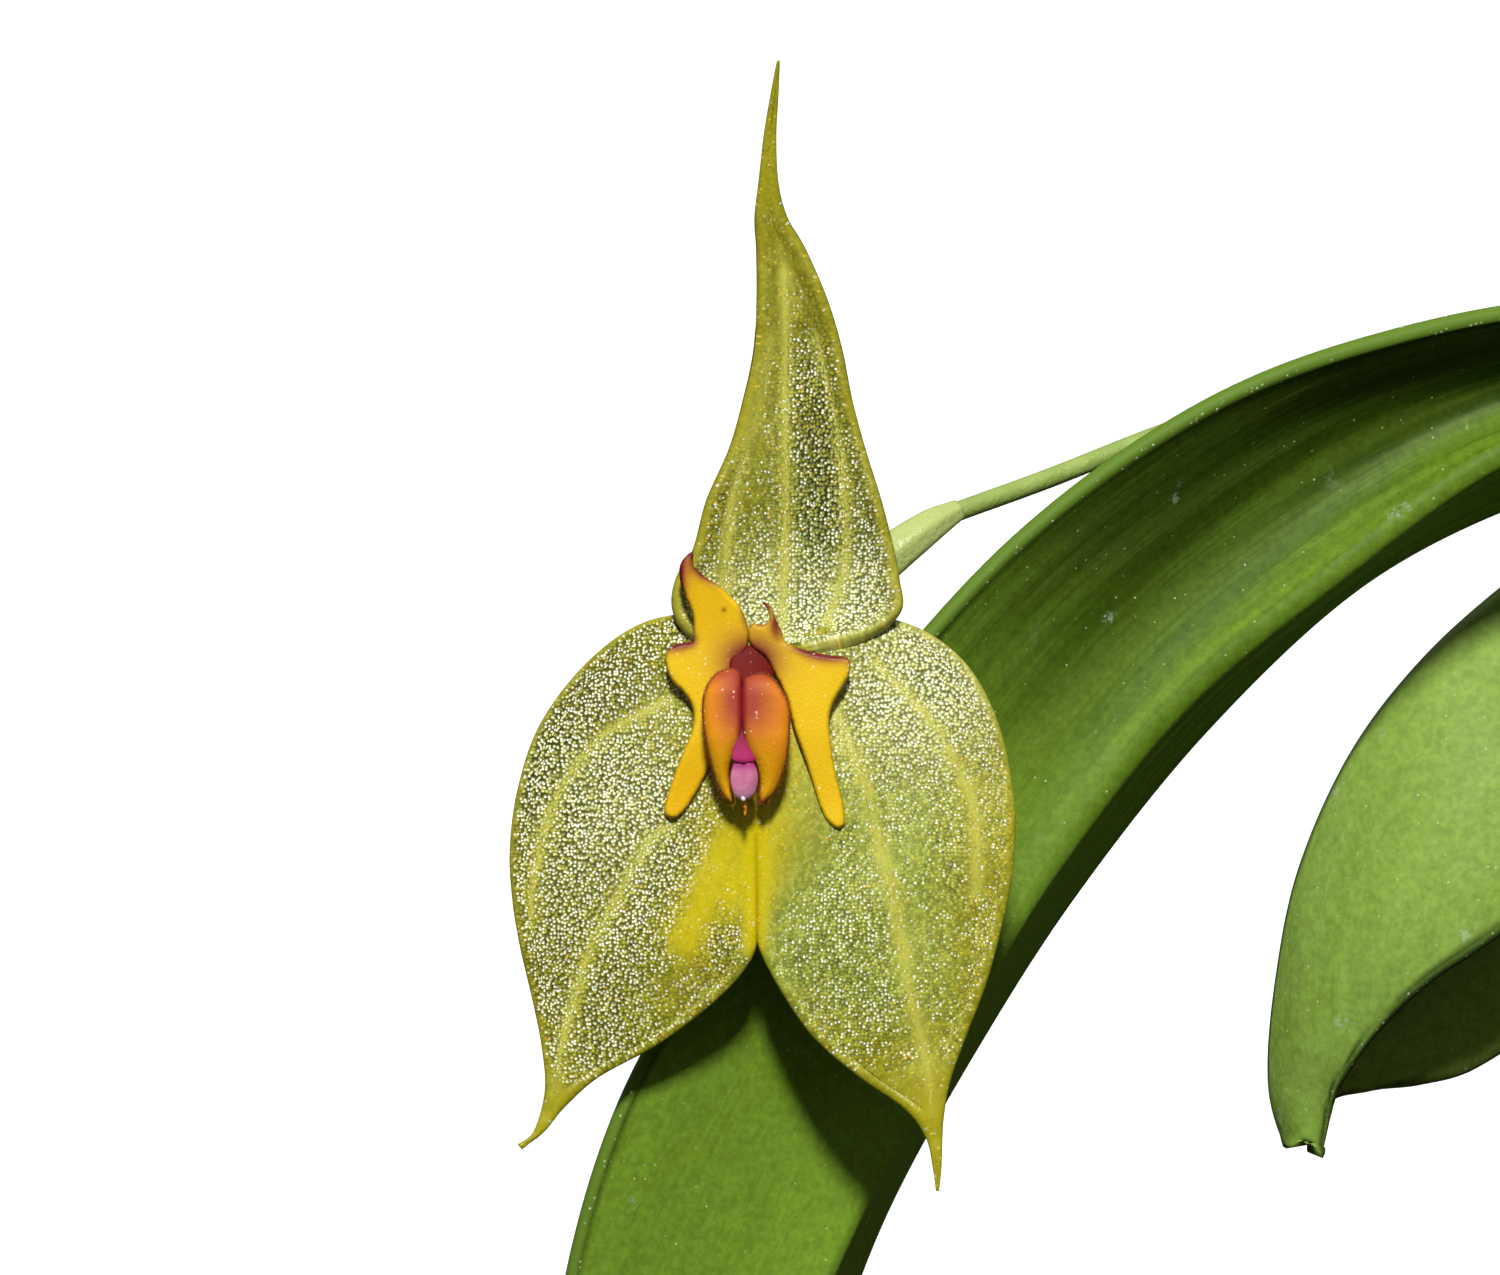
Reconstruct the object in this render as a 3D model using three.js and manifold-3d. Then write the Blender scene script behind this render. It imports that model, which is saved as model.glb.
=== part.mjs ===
// A potted miniature orchid of the genus Lepanthes, with one open bloom.
// Millimetres, +Z up. The origin is the centre of the pot's flat underside.
// Slender stems wrapped in ribbed sheaths stand in a mossy filling, and each carries one thick leaf.
// The bloom hangs beside a long arching leaf on the left and faces the front, -Y, turned up a little.
import * as THREE from 'three';
import Module from 'manifold-3d';
import { mergeVertices } from 'three/addons/utils/BufferGeometryUtils.js';

const wasm = await Module();
wasm.setup();

// Driving dimensions of the pot and its filling
const POT_HEIGHT = 58;
const POT_FOOT_RADIUS = 22;
const POT_RIM_RADIUS = 33;
const POT_RIM_HEIGHT = 12;
const POT_WALL = 3.4;
const POT_FLOOR = 4.5;
const POT_SIDES = 36;
const DRAIN_RADIUS = 2.6;
const DRAIN_CIRCLE = 13;
const DRAIN_SIDES = 10;
const MOSS_LEVEL = 51;
const MOSS_DOME = 3.5;
const MOSS_RINGS = 6;
const MOSS_SIDES = 30;
const SEAT_GAP = 0.3;

// Driving dimensions of the plant
const STEM_RADIUS = 0.6;
const STEM_END_RADIUS = 0.75;
const STEM_SIDES = 7;
const STEM_DEPTH = 9;
const STEM_LEAN = 0.45;
const STEM_FOOT_PULL = 0.4;
const STEM_TOP_PULL = 0.3;
const SHEATH_COUNT = 6;
const SHEATH_RADIUS = 0.8;
const SHEATH_MOUTH = 1.25;
const SHEATH_LIP = 0.12;
const LEAF_THICKNESS = 0.7;
const SEPAL_THICKNESS = 0.6;
const PETAL_THICKNESS = 0.6;
const STALK_RADIUS = 0.3;
const PEDICEL_RADIUS = 0.25;
const OVARY_RADIUS = 0.56;

// The bloom's own frame: x right, y away from the viewer, z up, origin where the sepals meet
const BLOOM_PLACE = new THREE.Vector3(-40, -6, 128);
const BLOOM_UPTURN = THREE.MathUtils.degToRad(10);

const vec = (x, y, z) => new THREE.Vector3(x, y, z);
const vecs = (points) => points.map((p) => vec(...p));
const lerp = THREE.MathUtils.lerp;
const radians = THREE.MathUtils.degToRad;
const steps = (count) => Array.from({ length: count + 1 }, (_, i) => i / count);

// Materials

const finish = (color, roughness) => new THREE.MeshStandardMaterial({ color, roughness, metalness: 0 });
const CLAY = finish(0xb4694a, 0.9);
const MOSS = finish(0x7c7f3c, 0.95);
const STEM = finish(0x8a7a4a, 0.7);
const LEAF = finish(0x3f7f22, 0.45);
const STALK = finish(0x8fae5a, 0.5);
const SEPAL = finish(0xb9b653, 0.35);
const PETAL = finish(0xf2b90f, 0.4);
const LIP = finish(0xe8791f, 0.4);
const COLUMN = finish(0xb0447f, 0.4);

// Closed solids

// A geometry as a manifold solid, with shared corners merged and its faces turned outwards.
function solidFrom(geometry) {
  const bare = new THREE.BufferGeometry();
  bare.setAttribute('position', geometry.getAttribute('position'));
  bare.setIndex(geometry.index);
  const merged = mergeVertices(bare, 1e-4);
  const corners = [];
  for (let i = 0; i < merged.index.count; i += 3) {
    const [a, b, c] = [0, 1, 2].map((k) => merged.index.getX(i + k));
    if (a !== b && b !== c && c !== a) corners.push(a, b, c);
  }
  const vertProperties = merged.attributes.position.array;
  const make = (triVerts) => new wasm.Manifold(new wasm.Mesh({ numProp: 3, vertProperties, triVerts }));
  const made = make(new Uint32Array(corners));
  return made.volume() > 0 ? made : make(new Uint32Array(corners.reverse()));
}

function geometryFrom(solid) {
  const mesh = solid.getMesh();
  const geometry = new THREE.BufferGeometry();
  geometry.setAttribute('position', new THREE.BufferAttribute(new Float32Array(mesh.vertProperties), 3));
  geometry.setIndex(new THREE.BufferAttribute(new Uint32Array(mesh.triVerts), 1));
  geometry.computeVertexNormals();
  return geometry;
}

const union = (solids) => solids.reduce((whole, next) => whole.add(next));

function meshed(points, triangles) {
  const geometry = new THREE.BufferGeometry().setFromPoints(points);
  geometry.setIndex(triangles.flat());
  return geometry;
}

// A blade of even thickness around a grid of mid-surface points, split alike on both faces.
function blade(rows, thickness) {
  const last = rows.length - 1;
  const wide = rows[0].length - 1;
  const at = (i, j) => rows[Math.min(Math.max(i, 0), last)][Math.min(Math.max(j, 0), wide)];
  const points = [];
  for (const side of [0.5, -0.5]) {
    for (let i = 0; i <= last; i++) {
      for (let j = 0; j <= wide; j++) {
        const along = at(i + 1, j).clone().sub(at(i - 1, j));
        const normal = at(i, j + 1).clone().sub(at(i, j - 1)).cross(along).normalize();
        points.push(rows[i][j].clone().addScaledVector(normal, side * thickness));
      }
    }
  }
  const top = (i, j) => i * (wide + 1) + j;
  const under = (i, j) => top(i, j) + (last + 1) * (wide + 1);
  const triangles = [];
  for (let i = 0; i < last; i++) {
    for (let j = 0; j < wide; j++) {
      triangles.push([top(i, j), top(i, j + 1), top(i + 1, j + 1)]);
      triangles.push([top(i, j), top(i + 1, j + 1), top(i + 1, j)]);
      triangles.push([under(i, j), under(i + 1, j + 1), under(i, j + 1)]);
      triangles.push([under(i, j), under(i + 1, j), under(i + 1, j + 1)]);
    }
  }
  const edge = [];
  for (let j = 0; j < wide; j++) edge.push([0, j]);
  for (let i = 0; i < last; i++) edge.push([i, wide]);
  for (let j = wide; j > 0; j--) edge.push([last, j]);
  for (let i = last; i > 0; i--) edge.push([i, 0]);
  edge.forEach(([i, j], k) => {
    const [m, n] = edge[(k + 1) % edge.length];
    triangles.push([top(i, j), under(i, j), under(m, n)], [top(i, j), under(m, n), top(m, n)]);
  });
  return solidFrom(meshed(points, triangles));
}

// A closed tube through the points, with a radius at each.
function tube(path, radii, sides) {
  const points = [];
  const triangles = [];
  const lastRing = path.length - 1;
  let sideways = vec(1, 0.3, 0.2);
  path.forEach((p, i) => {
    const ahead = path[Math.min(i + 1, lastRing)].clone().sub(path[Math.max(i - 1, 0)]).normalize();
    sideways = sideways.clone().addScaledVector(ahead, -sideways.dot(ahead)).normalize();
    const other = ahead.clone().cross(sideways);
    for (let k = 0; k < sides; k++) {
      const turn = (2 * Math.PI * k) / sides;
      points.push(p.clone()
        .addScaledVector(sideways, radii[i] * Math.cos(turn))
        .addScaledVector(other, radii[i] * Math.sin(turn)));
    }
  });
  for (let i = 0; i < lastRing; i++) {
    for (let k = 0; k < sides; k++) {
      const a = i * sides + k;
      const b = i * sides + ((k + 1) % sides);
      triangles.push([a, b, b + sides], [a, b + sides, a + sides]);
    }
  }
  const foot = points.push(path[0]) - 1;
  const head = points.push(path[lastRing]) - 1;
  for (let k = 0; k < sides; k++) {
    const next = (k + 1) % sides;
    triangles.push([foot, next, k], [head, lastRing * sides + k, lastRing * sides + next]);
  }
  return solidFrom(meshed(points, triangles));
}

// A smooth line through hand-placed points.
function smooth(points, count) {
  const curve = new THREE.CatmullRomCurve3(vecs(points), false, 'catmullrom', 0.5);
  return steps(count).map((t) => curve.getPoint(t));
}

// The solid that (radius, height) pairs make when they are turned round the Z axis.
function turned(profile, sides) {
  const geometry = new THREE.LatheGeometry(profile.map(([r, z]) => new THREE.Vector2(r, z)), sides);
  return solidFrom(geometry.rotateX(Math.PI / 2));
}

function egg(centre, halves) {
  const geometry = new THREE.SphereGeometry(1, 10, 8).scale(...halves).translate(...centre);
  return solidFrom(geometry);
}

function place(name, solid, material, parent) {
  const mesh = new THREE.Mesh(geometryFrom(solid), material);
  mesh.name = name;
  parent.add(mesh);
}

const orchid = new THREE.Group();
const bloom = new THREE.Group();
bloom.position.copy(BLOOM_PLACE);
bloom.rotation.x = -BLOOM_UPTURN;
bloom.updateMatrix();
orchid.add(bloom);
const fromBloom = (x, y, z) => vec(x, y, z).applyMatrix4(bloom.matrix);
const turnedFromBloom = (x, y, z) => vec(x, y, z).normalize().transformDirection(bloom.matrix);

// The pot: a tapered clay wall with a thick rim band, and four drain holes round a solid middle

const innerRadius = (z) => lerp(POT_FOOT_RADIUS, POT_RIM_RADIUS - 2, z / POT_HEIGHT) - POT_WALL;
const bandFoot = POT_HEIGHT - POT_RIM_HEIGHT;
let pot = turned([
  [0, 0],
  [POT_FOOT_RADIUS - 0.8, 0],
  [POT_FOOT_RADIUS, 0.8],
  [innerRadius(bandFoot) + POT_WALL, bandFoot],
  [POT_RIM_RADIUS - 0.9, bandFoot + 0.8],
  [POT_RIM_RADIUS, POT_HEIGHT - 1],
  [POT_RIM_RADIUS - 0.8, POT_HEIGHT],
  [innerRadius(POT_HEIGHT) + 0.7, POT_HEIGHT],
  [innerRadius(POT_HEIGHT - 1), POT_HEIGHT - 1],
  [innerRadius(POT_FLOOR), POT_FLOOR],
  [0, POT_FLOOR],
], POT_SIDES);
for (let k = 0; k < 4; k++) {
  const turn = radians(45 + 90 * k);
  const [x, y] = [DRAIN_CIRCLE * Math.cos(turn), DRAIN_CIRCLE * Math.sin(turn)];
  const hole = tube([vec(x, y, -1), vec(x, y, POT_FLOOR + 1)], [DRAIN_RADIUS, DRAIN_RADIUS], DRAIN_SIDES);
  pot = pot.subtract(hole);
}
place('pot', pot, CLAY, orchid);

// The filling: moss in the pot, its top a low dome with cushions raised from it by a formula

const mossEdge = (z) => innerRadius(z) - SEAT_GAP / Math.cos(Math.PI / MOSS_SIDES);

function mossHeight(x, y) {
  const share = Math.hypot(x, y) / mossEdge(MOSS_LEVEL);
  const cushions = 0.8 * Math.sin(0.62 * x + 1.1) * Math.cos(0.55 * y - 0.4)
    + 0.45 * Math.sin(1.13 * y + 0.5 * x) + 0.35 * Math.cos(1.3 * x - 0.7 * y);
  return MOSS_LEVEL + MOSS_DOME * (1 - share * share) + cushions * (1.25 - share);
}

function mossBody() {
  const ring = (radius, height) => steps(MOSS_SIDES).slice(1).map((t) => {
    const turn = 2 * Math.PI * t;
    const [x, y] = [radius * Math.cos(turn), radius * Math.sin(turn)];
    return vec(x, y, height ?? mossHeight(x, y));
  });
  const floor = POT_FLOOR + SEAT_GAP;
  const rings = steps(MOSS_RINGS).slice(1).map((t) => ring(t * mossEdge(MOSS_LEVEL)));
  rings.push(ring(mossEdge(floor), floor));
  const points = rings.flat();
  const crown = points.push(vec(0, 0, mossHeight(0, 0))) - 1;
  const base = points.push(vec(0, 0, floor)) - 1;
  const triangles = [];
  for (let k = 0; k < MOSS_SIDES; k++) {
    const next = (k + 1) % MOSS_SIDES;
    triangles.push([crown, k, next]);
    for (let i = 0; i < MOSS_RINGS; i++) {
      const [a, b] = [i * MOSS_SIDES + k, i * MOSS_SIDES + next];
      triangles.push([a, a + MOSS_SIDES, b + MOSS_SIDES], [a, b + MOSS_SIDES, b]);
    }
    triangles.push([base, MOSS_RINGS * MOSS_SIDES + next, MOSS_RINGS * MOSS_SIDES + k]);
  }
  return solidFrom(meshed(points, triangles));
}

// The two leaves beside the bloom are laid out by hand in the bloom's frame, as rails from stalk to tip.
// The keel is the fold along the blade's middle, and near and far are its two margins.

const ARCHING_LEAF = {
  near: [[28.9, 9, -0.6], [29.1, 8.6, 2.6], [27.3, 7.6, 6], [23.2, 6, 8.3], [18.6, 4.6, 8.65],
    [14.25, 3.8, 7.85], [10.1, 3.2, 6.25], [5.95, 2.6, 3.3], [2.35, 2, -0.75], [-0.1, 1.5, -4.6],
    [-2.6, 1.1, -8.65], [-4.05, 1.5, -12.7], [-4.5, 2.2, -16.25], [-3.9, 2.9, -19.2], [-2.9, 3.6, -22.1]],
  keel: [[28.3, 8.6, -0.8], [28, 8.4, 1.8], [26.1, 7.8, 4.6], [23.05, 7, 6.6], [19.55, 6.2, 6.6],
    [16.35, 5.6, 5.3], [13.05, 5.1, 3], [9.45, 4.8, 0], [6.45, 4.5, -3.75], [4.25, 4.2, -7.35],
    [2.2, 4, -11.1], [0.7, 3.8, -14.6], [-0.3, 3.6, -17.7], [-1.3, 3.6, -20.25], [-2.4, 3.6, -22.5]],
  far: [[27.7, 9.2, -1], [27.2, 9.6, 1.4], [25.35, 10.6, 3.6], [22.7, 11.2, 5.15], [20, 11.2, 5.15],
    [17.2, 10.8, 4.2], [13.65, 10.4, 2.45], [10.15, 10.2, -0.7], [7.15, 9.9, -4.25], [4.9, 9.4, -7.7],
    [2.85, 9, -11.4], [1.5, 8.2, -14.9], [0.5, 7, -17.95], [-0.7, 5.4, -20.55], [-2.1, 3.9, -22.7]],
  nearSag: [0.4, 0.5, 0.7, 1, 1.3, 1.5, 1.5, 1.2, 0.8, 0.4, 0.2, 0.2, 0.2, 0.1, 0],
  farSag: 0.4,
};
const HANGING_LEAF = {
  near: [[27.1, 21, 0.5], [26.6, 20.4, 2.4], [24.7, 18.2, 2.9], [22.35, 14.5, 1.6], [20.55, 11.4, -0.85],
    [18.8, 9.8, -3.3], [16.95, 9, -5.15], [15.1, 9.1, -6.45], [14, 9.6, -7.55], [13.3, 10.1, -8.55],
    [12.95, 10.7, -9.35], [12.65, 11, -10.35]],
  keel: [[27.6, 21.4, 0.6], [27.4, 21.2, 3], [25.5, 19.6, 5], [22.45, 16.4, 5.35], [19.75, 13.4, 4.35],
    [17.55, 11.6, 2.75], [15.35, 10.7, 0.8], [13.65, 10.6, -1.35], [12.5, 10.8, -3.9], [12, 11, -6.4],
    [11.85, 11.2, -8.6], [12.15, 11.3, -10.05]],
  far: [[27.1, 21.9, 0.5], [26.6, 22.1, 2.4], [24.7, 21.3, 2.4], [22.55, 18.8, 0.5], [20.95, 16.2, -2.25],
    [19.2, 14.6, -5.05], [17.75, 13.6, -7.3], [16.3, 13.1, -8.4], [15.05, 12.7, -8.75], [13.9, 12.3, -8.85],
    [12.9, 12, -9.05], [12.25, 11.6, -9.95]],
  nearSag: [-0.4, -0.4],
  farSag: -0.4,
};
const RAIL_STEPS = 24;
const HALF_COLUMNS = 3;

// Rows across a folded leaf: margin, keel, margin, with each half bowed away from the viewer by its sag.
function railRows({ near, keel, far, nearSag, farSag }) {
  const [nears, keels, fars] = [near, keel, far].map((rail) => smooth(rail, RAIL_STEPS));
  const sags = smooth(nearSag.map((sag) => [0, sag, 0]), RAIL_STEPS);
  const half = (from, to, sag) => steps(HALF_COLUMNS).map((t) => {
    const p = from.clone().lerp(to, t);
    p.y += sag * 4 * t * (1 - t);
    return p;
  });
  return keels.map((keelPoint, i) => [
    ...half(nears[i], keelPoint, sags[i].y),
    ...half(keelPoint, fars[i], farSag).slice(1),
  ]);
}

// The other leaves follow a formula: the midline rises from the stem and arches over along one heading.
// heading is a compass direction from +X towards +Y, and rise and fall are slopes, all in degrees.
const LEAF_ROWS = 11;
const LEAF_COLUMNS = 6;
const LEAF_TIP_WIDTH = 0.5;
const LEAF_STALK_WIDTH = 0.75;
const LEAF_STALK_SHARE = 0.06;
const LEAF_FOLD_AT_STALK = 62;
const LEAF_FOLD_BEYOND = 16;
const LEAF_OPENED_BY = 0.55;

function leafHalfWidth(s, width) {
  const t = Math.max(0, s - LEAF_STALK_SHARE) / (1 - LEAF_STALK_SHARE);
  const oval = (width / 2) * Math.sin(Math.PI * t ** 0.9) ** 0.85;
  return Math.max(lerp(LEAF_STALK_WIDTH, LEAF_TIP_WIDTH, s), oval);
}

const leafFold = (s) => lerp(LEAF_FOLD_AT_STALK, LEAF_FOLD_BEYOND, Math.min(1, s / LEAF_OPENED_BY));

function leafHeading({ heading, rise }) {
  const [turn, slope] = [radians(heading), radians(rise)];
  return vec(Math.cos(turn) * Math.cos(slope), Math.sin(turn) * Math.cos(slope), Math.sin(slope));
}

function arcRows(leaf, base) {
  const point = base.clone();
  const turn = radians(leaf.heading);
  const across = vec(-Math.sin(turn), Math.cos(turn), 0);
  return steps(LEAF_ROWS).map((s) => {
    const ahead = leafHeading({ heading: leaf.heading, rise: lerp(leaf.rise, -leaf.fall, s) });
    const lift = ahead.clone().cross(across);
    const half = leafHalfWidth(s, leaf.width);
    const fold = radians(leafFold(s));
    const row = steps(LEAF_COLUMNS).map((t) => {
      const u = 2 * t - 1;
      return point.clone()
        .addScaledVector(across, u * half * Math.cos(fold))
        .addScaledVector(lift, Math.abs(u) * half * Math.sin(fold));
    });
    point.addScaledVector(ahead, leaf.length / LEAF_ROWS);
    return row;
  });
}

// Each shoot: where its stem leaves the moss, where the stem ends, and the leaf on that end.
const SHOOTS = [
  { name: 'right_front', foot: [6, -4], top: [13, -9, 116],
    leaf: { heading: -22, rise: 62, fall: 38, length: 50, width: 13 } },
  { name: 'back', foot: [2, 8], top: [7, 21, 119],
    leaf: { heading: 72, rise: 66, fall: 30, length: 45, width: 12 } },
  { name: 'right_back', foot: [9, 4], top: [22, 12, 109],
    leaf: { heading: 28, rise: 58, fall: 46, length: 48, width: 13 } },
  { name: 'front', foot: [-2, -8], top: [-5, -21, 99],
    leaf: { heading: 262, rise: 56, fall: 42, length: 42, width: 12 } },
  { name: 'front_right', foot: [5, -11], top: [16, -24, 95],
    leaf: { heading: 304, rise: 58, fall: 40, length: 43, width: 12.5 } },
  { name: 'left_front', foot: [-10, -4], top: [-23, -10, 85],
    leaf: { heading: 200, rise: 52, fall: 40, length: 38, width: 11.5 } },
  { name: 'left_back', foot: [-11, 4], top: [-24, 12, 83],
    leaf: { heading: 158, rise: 50, fall: 44, length: 38, width: 11.5 } },
  { name: 'right', foot: [13, -2], top: [30, -5, 91],
    leaf: { heading: -4, rise: 56, fall: 44, length: 42, width: 12 } },
  { name: 'back_left', foot: [-3, 13], top: [-6, 30, 93],
    leaf: { heading: 98, rise: 56, fall: 40, length: 40, width: 12 } },
  { name: 'back_right', foot: [9, 12], top: [20, 27, 90],
    leaf: { heading: 52, rise: 58, fall: 42, length: 40, width: 12 } },
];

// A stem's line: straight through the moss, then one bend up to the leaf. It starts at the stem's buried end.
const STEM_STEPS = SHEATH_COUNT * 3;
const HOLE_REACH = 4;

function stemLine(foot, top, arrival) {
  const start = vec(foot[0], foot[1], mossHeight(...foot));
  const span = top.clone().sub(start);
  const leaving = vec(span.x * STEM_LEAN, span.y * STEM_LEAN, span.z).normalize();
  const curve = new THREE.CubicBezierCurve3(
    start,
    start.clone().addScaledVector(leaving, span.length() * STEM_FOOT_PULL),
    top.clone().addScaledVector(arrival, -span.length() * STEM_TOP_PULL),
    top);
  const buried = start.clone().addScaledVector(leaving, -STEM_DEPTH);
  return { buried, start, leaving, risen: steps(STEM_STEPS).map((t) => curve.getPoint(t)) };
}

// Ribbed sheaths as a row of funnels, each wide at its mouth and stepping in to the next one's foot.
function stemSolid(line) {
  const path = [line.buried, line.start];
  const radii = [STEM_RADIUS, STEM_RADIUS];
  for (let i = 1; i <= STEM_STEPS; i++) {
    const here = line.risen[i];
    const nearMouth = i % 3 === 2;
    const atFoot = i % 3 === 0;
    if (nearMouth) {
      path.push(here, here.clone().lerp(line.risen[i + 1], SHEATH_LIP));
      radii.push(SHEATH_MOUTH, SHEATH_RADIUS);
    } else {
      path.push(here);
      radii.push(atFoot ? STEM_END_RADIUS : SHEATH_RADIUS);
    }
  }
  return tube(path, radii, STEM_SIDES);
}

function plantStem(name, foot, top, arrival, moss) {
  const line = stemLine(foot, top, arrival);
  place(`stem_${name}`, stemSolid(line), STEM, orchid);
  const holeRadius = STEM_RADIUS + SEAT_GAP;
  const holeFoot = line.buried.clone().addScaledVector(line.leaving, -SEAT_GAP);
  const holeMouth = line.start.clone().addScaledVector(line.leaving, HOLE_REACH);
  return moss.subtract(tube([holeFoot, holeMouth], [holeRadius, holeRadius], STEM_SIDES));
}

let moss = mossBody();
for (const { name, foot, top, leaf } of SHOOTS) {
  const heading = leafHeading(leaf);
  const end = vec(...top);
  moss = plantStem(name, foot, end, heading, moss);
  const base = end.clone().addScaledVector(heading, SEAT_GAP);
  place(`leaf_${name}`, blade(arcRows(leaf, base), LEAF_THICKNESS), LEAF, orchid);
}
moss = plantStem('arching', [-4, 1], fromBloom(28.35, 8.9, -1.5), turnedFromBloom(-0.15, -0.1, 1), moss);
moss = plantStem('hanging', [-5, 8], fromBloom(27.3, 21.5, 0), turnedFromBloom(-0.1, 0, 1), moss);
place('moss', moss, MOSS, orchid);
place('leaf_arching', blade(railRows(ARCHING_LEAF), LEAF_THICKNESS), LEAF, bloom);
place('leaf_hanging', blade(railRows(HANGING_LEAF), LEAF_THICKNESS), LEAF, bloom);

// The flower stalk runs inside the arching leaf's fold, with small bracts and two young buds near its end.

const STALK_LINE = [[29.2, 10.2, -1.2], [29.6, 11, 2.4], [27, 11.6, 6.4], [22.5, 10.6, 8], [18, 9.2, 7.9],
  [14.6, 8.2, 7.2], [11.6, 7.6, 6.2]];
const BRACT_RADIUS = 0.48;
const STALK_STEPS = 24;

function stalkSolid() {
  const path = [];
  const radii = [];
  smooth(STALK_LINE, STALK_STEPS).forEach((p, i) => {
    path.push(p);
    radii.push(i > STALK_STEPS / 2 && i % 2 ? BRACT_RADIUS : STALK_RADIUS);
  });
  const buds = [egg([12.3, 8, 5.9], [0.5, 0.5, 0.8]), egg([11.6, 7.75, 5.7], [0.4, 0.45, 0.65])];
  return union([tube(path, radii, 6), ...buds]);
}
place('flower_stalk', stalkSolid(), STALK, bloom);

const PEDICEL_LINE = [[10.9, 7.2, 6.55], [8.9, 6.1, 5.87], [6.5, 4.7, 4.92], [4.75, 3.6, 4.28]];
place('pedicel', tube(smooth(PEDICEL_LINE, 6), Array(7).fill(PEDICEL_RADIUS), 6), STALK, bloom);

const OVARY_LINE = [[4.45, 3.4, 4.2], [3.7, 2.9, 3.75], [2.6, 2.4, 2.9], [1.6, 1.9, 1.9], [0.9, 1.6, 1.1]];
const OVARY_SHARE = [0.6, 0.62, 0.8, 0.95, 1, 1, 0.95, 0.9, 0.85];
place('ovary', tube(smooth(OVARY_LINE, 8), OVARY_SHARE.map((s) => s * OVARY_RADIUS), 6), STALK, bloom);

// The sepals: a long-tailed upper one, and two lower ones joined down the middle into one piece

const UPPER_SEPAL = {
  left: [[-0.6, -0.35, 1.05], [-1.5, -0.35, 1.45], [-1.85, -0.45, 2], [-1.78, -0.4, 2.65],
    [-1.4, -0.3, 3.3], [-1.1, -0.1, 4.4], [-0.6, 0, 5.5], [-0.28, 0.05, 6.6], [-0.05, 0.1, 7.7],
    [0, 0.1, 8.8], [0, 0.1, 9.9], [-0.04, 0.05, 10.6], [0.04, -0.05, 11.4], [0.15, -0.2, 12.4],
    [0.3, -0.35, 13.3], [0.4, -0.45, 14.04]],
  right: [[1, -0.35, 1.05], [2.4, -0.35, 1.4], [3.15, -0.4, 1.95], [3.12, -0.4, 2.65], [3, -0.3, 3.3],
    [2.72, -0.1, 4.4], [2.38, 0, 5.5], [2.08, 0.05, 6.6], [1.86, 0.1, 7.7], [1.54, 0.1, 8.8],
    [1.06, 0.1, 9.9], [0.66, 0.05, 10.6], [0.5, -0.05, 11.4], [0.46, -0.2, 12.4], [0.54, -0.35, 13.3],
    [0.58, -0.45, 14.04]],
};
const LOWER_SEPAL_LEFT = {
  left: [[-1.14, 1, 1.94], [-2.57, 0.8, 1.65], [-3.78, 0.5, 0.77], [-4.77, 0.35, -0.55],
    [-5.26, 0.3, -1.98], [-5.43, 0.25, -3.3], [-5.37, 0.25, -4.4], [-5.21, 0.25, -5.39],
    [-4.93, 0.25, -6.6], [-4.75, 0.2, -7.48], [-4.66, 0.15, -8.36], [-4.73, 0.1, -8.98],
    [-4.95, 0.05, -9.57], [-5.3, 0, -9.78]],
  right: [[0.05, 1, 1.32], [0.05, 0.7, 0.44], [0.05, 0.35, -0.66], [0.05, 0.2, -1.98], [0.05, 0.15, -3.08],
    [0.05, 0.1, -4.18], [0, 0.1, -5.28], [-0.26, 0.15, -5.95], [-0.92, 0.2, -6.65], [-2.13, 0.2, -7.52],
    [-3.45, 0.15, -8.25], [-4.15, 0.1, -8.85], [-4.62, 0.05, -9.4], [-5.17, 0, -9.92]],
};
const LOWER_SEPAL_RIGHT = {
  left: [[-0.05, 1, 1.32], [-0.05, 0.7, 0.22], [-0.05, 0.35, -0.88], [-0.05, 0.2, -1.98],
    [-0.05, 0.15, -3.19], [-0.05, 0.1, -4.29], [0, 0.1, -5.28], [0.46, 0.15, -6.27], [1.21, 0.2, -7.37],
    [2.22, 0.2, -8.25], [3.26, 0.15, -8.98], [3.72, 0.1, -9.64], [3.85, 0.05, -10.3], [3.92, 0, -10.8]],
  right: [[2.82, 1, 1.8], [3.81, 0.8, 1.43], [4.73, 0.5, 0.62], [5.35, 0.35, -0.66], [5.65, 0.3, -2.2],
    [5.63, 0.25, -3.63], [5.39, 0.25, -4.95], [5.02, 0.25, -6.27], [4.6, 0.25, -7.37], [4.25, 0.2, -8.36],
    [4.11, 0.15, -9.13], [4.08, 0.1, -9.79], [4.08, 0.05, -10.34], [4.05, 0, -10.8]],
};
const SEPAL_ROWS = 15;
const SEPAL_COLUMNS = 5;

// Rows between a left and a right rail. bow is the middle's reach towards the viewer, as a share of width.
function sepalRows({ left, right }, bow) {
  const [lefts, rights] = [left, right].map((rail) => smooth(rail, SEPAL_ROWS));
  return lefts.map((from, i) => {
    const reach = bow * from.distanceTo(rights[i]);
    return steps(SEPAL_COLUMNS).map((t) => {
      const p = from.clone().lerp(rights[i], t);
      p.y -= reach * 4 * t * (1 - t);
      return p;
    });
  });
}

place('upper_sepal', blade(sepalRows(UPPER_SEPAL, -0.09), SEPAL_THICKNESS), SEPAL, bloom);
place('lower_sepals', union([
  blade(sepalRows(LOWER_SEPAL_LEFT, 0.08), SEPAL_THICKNESS),
  blade(sepalRows(LOWER_SEPAL_RIGHT, 0.08), SEPAL_THICKNESS),
]), SEPAL, bloom);

// The petals: each an upper horn, a side lobe and a long lower lobe, cut from one thick sheet

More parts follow.
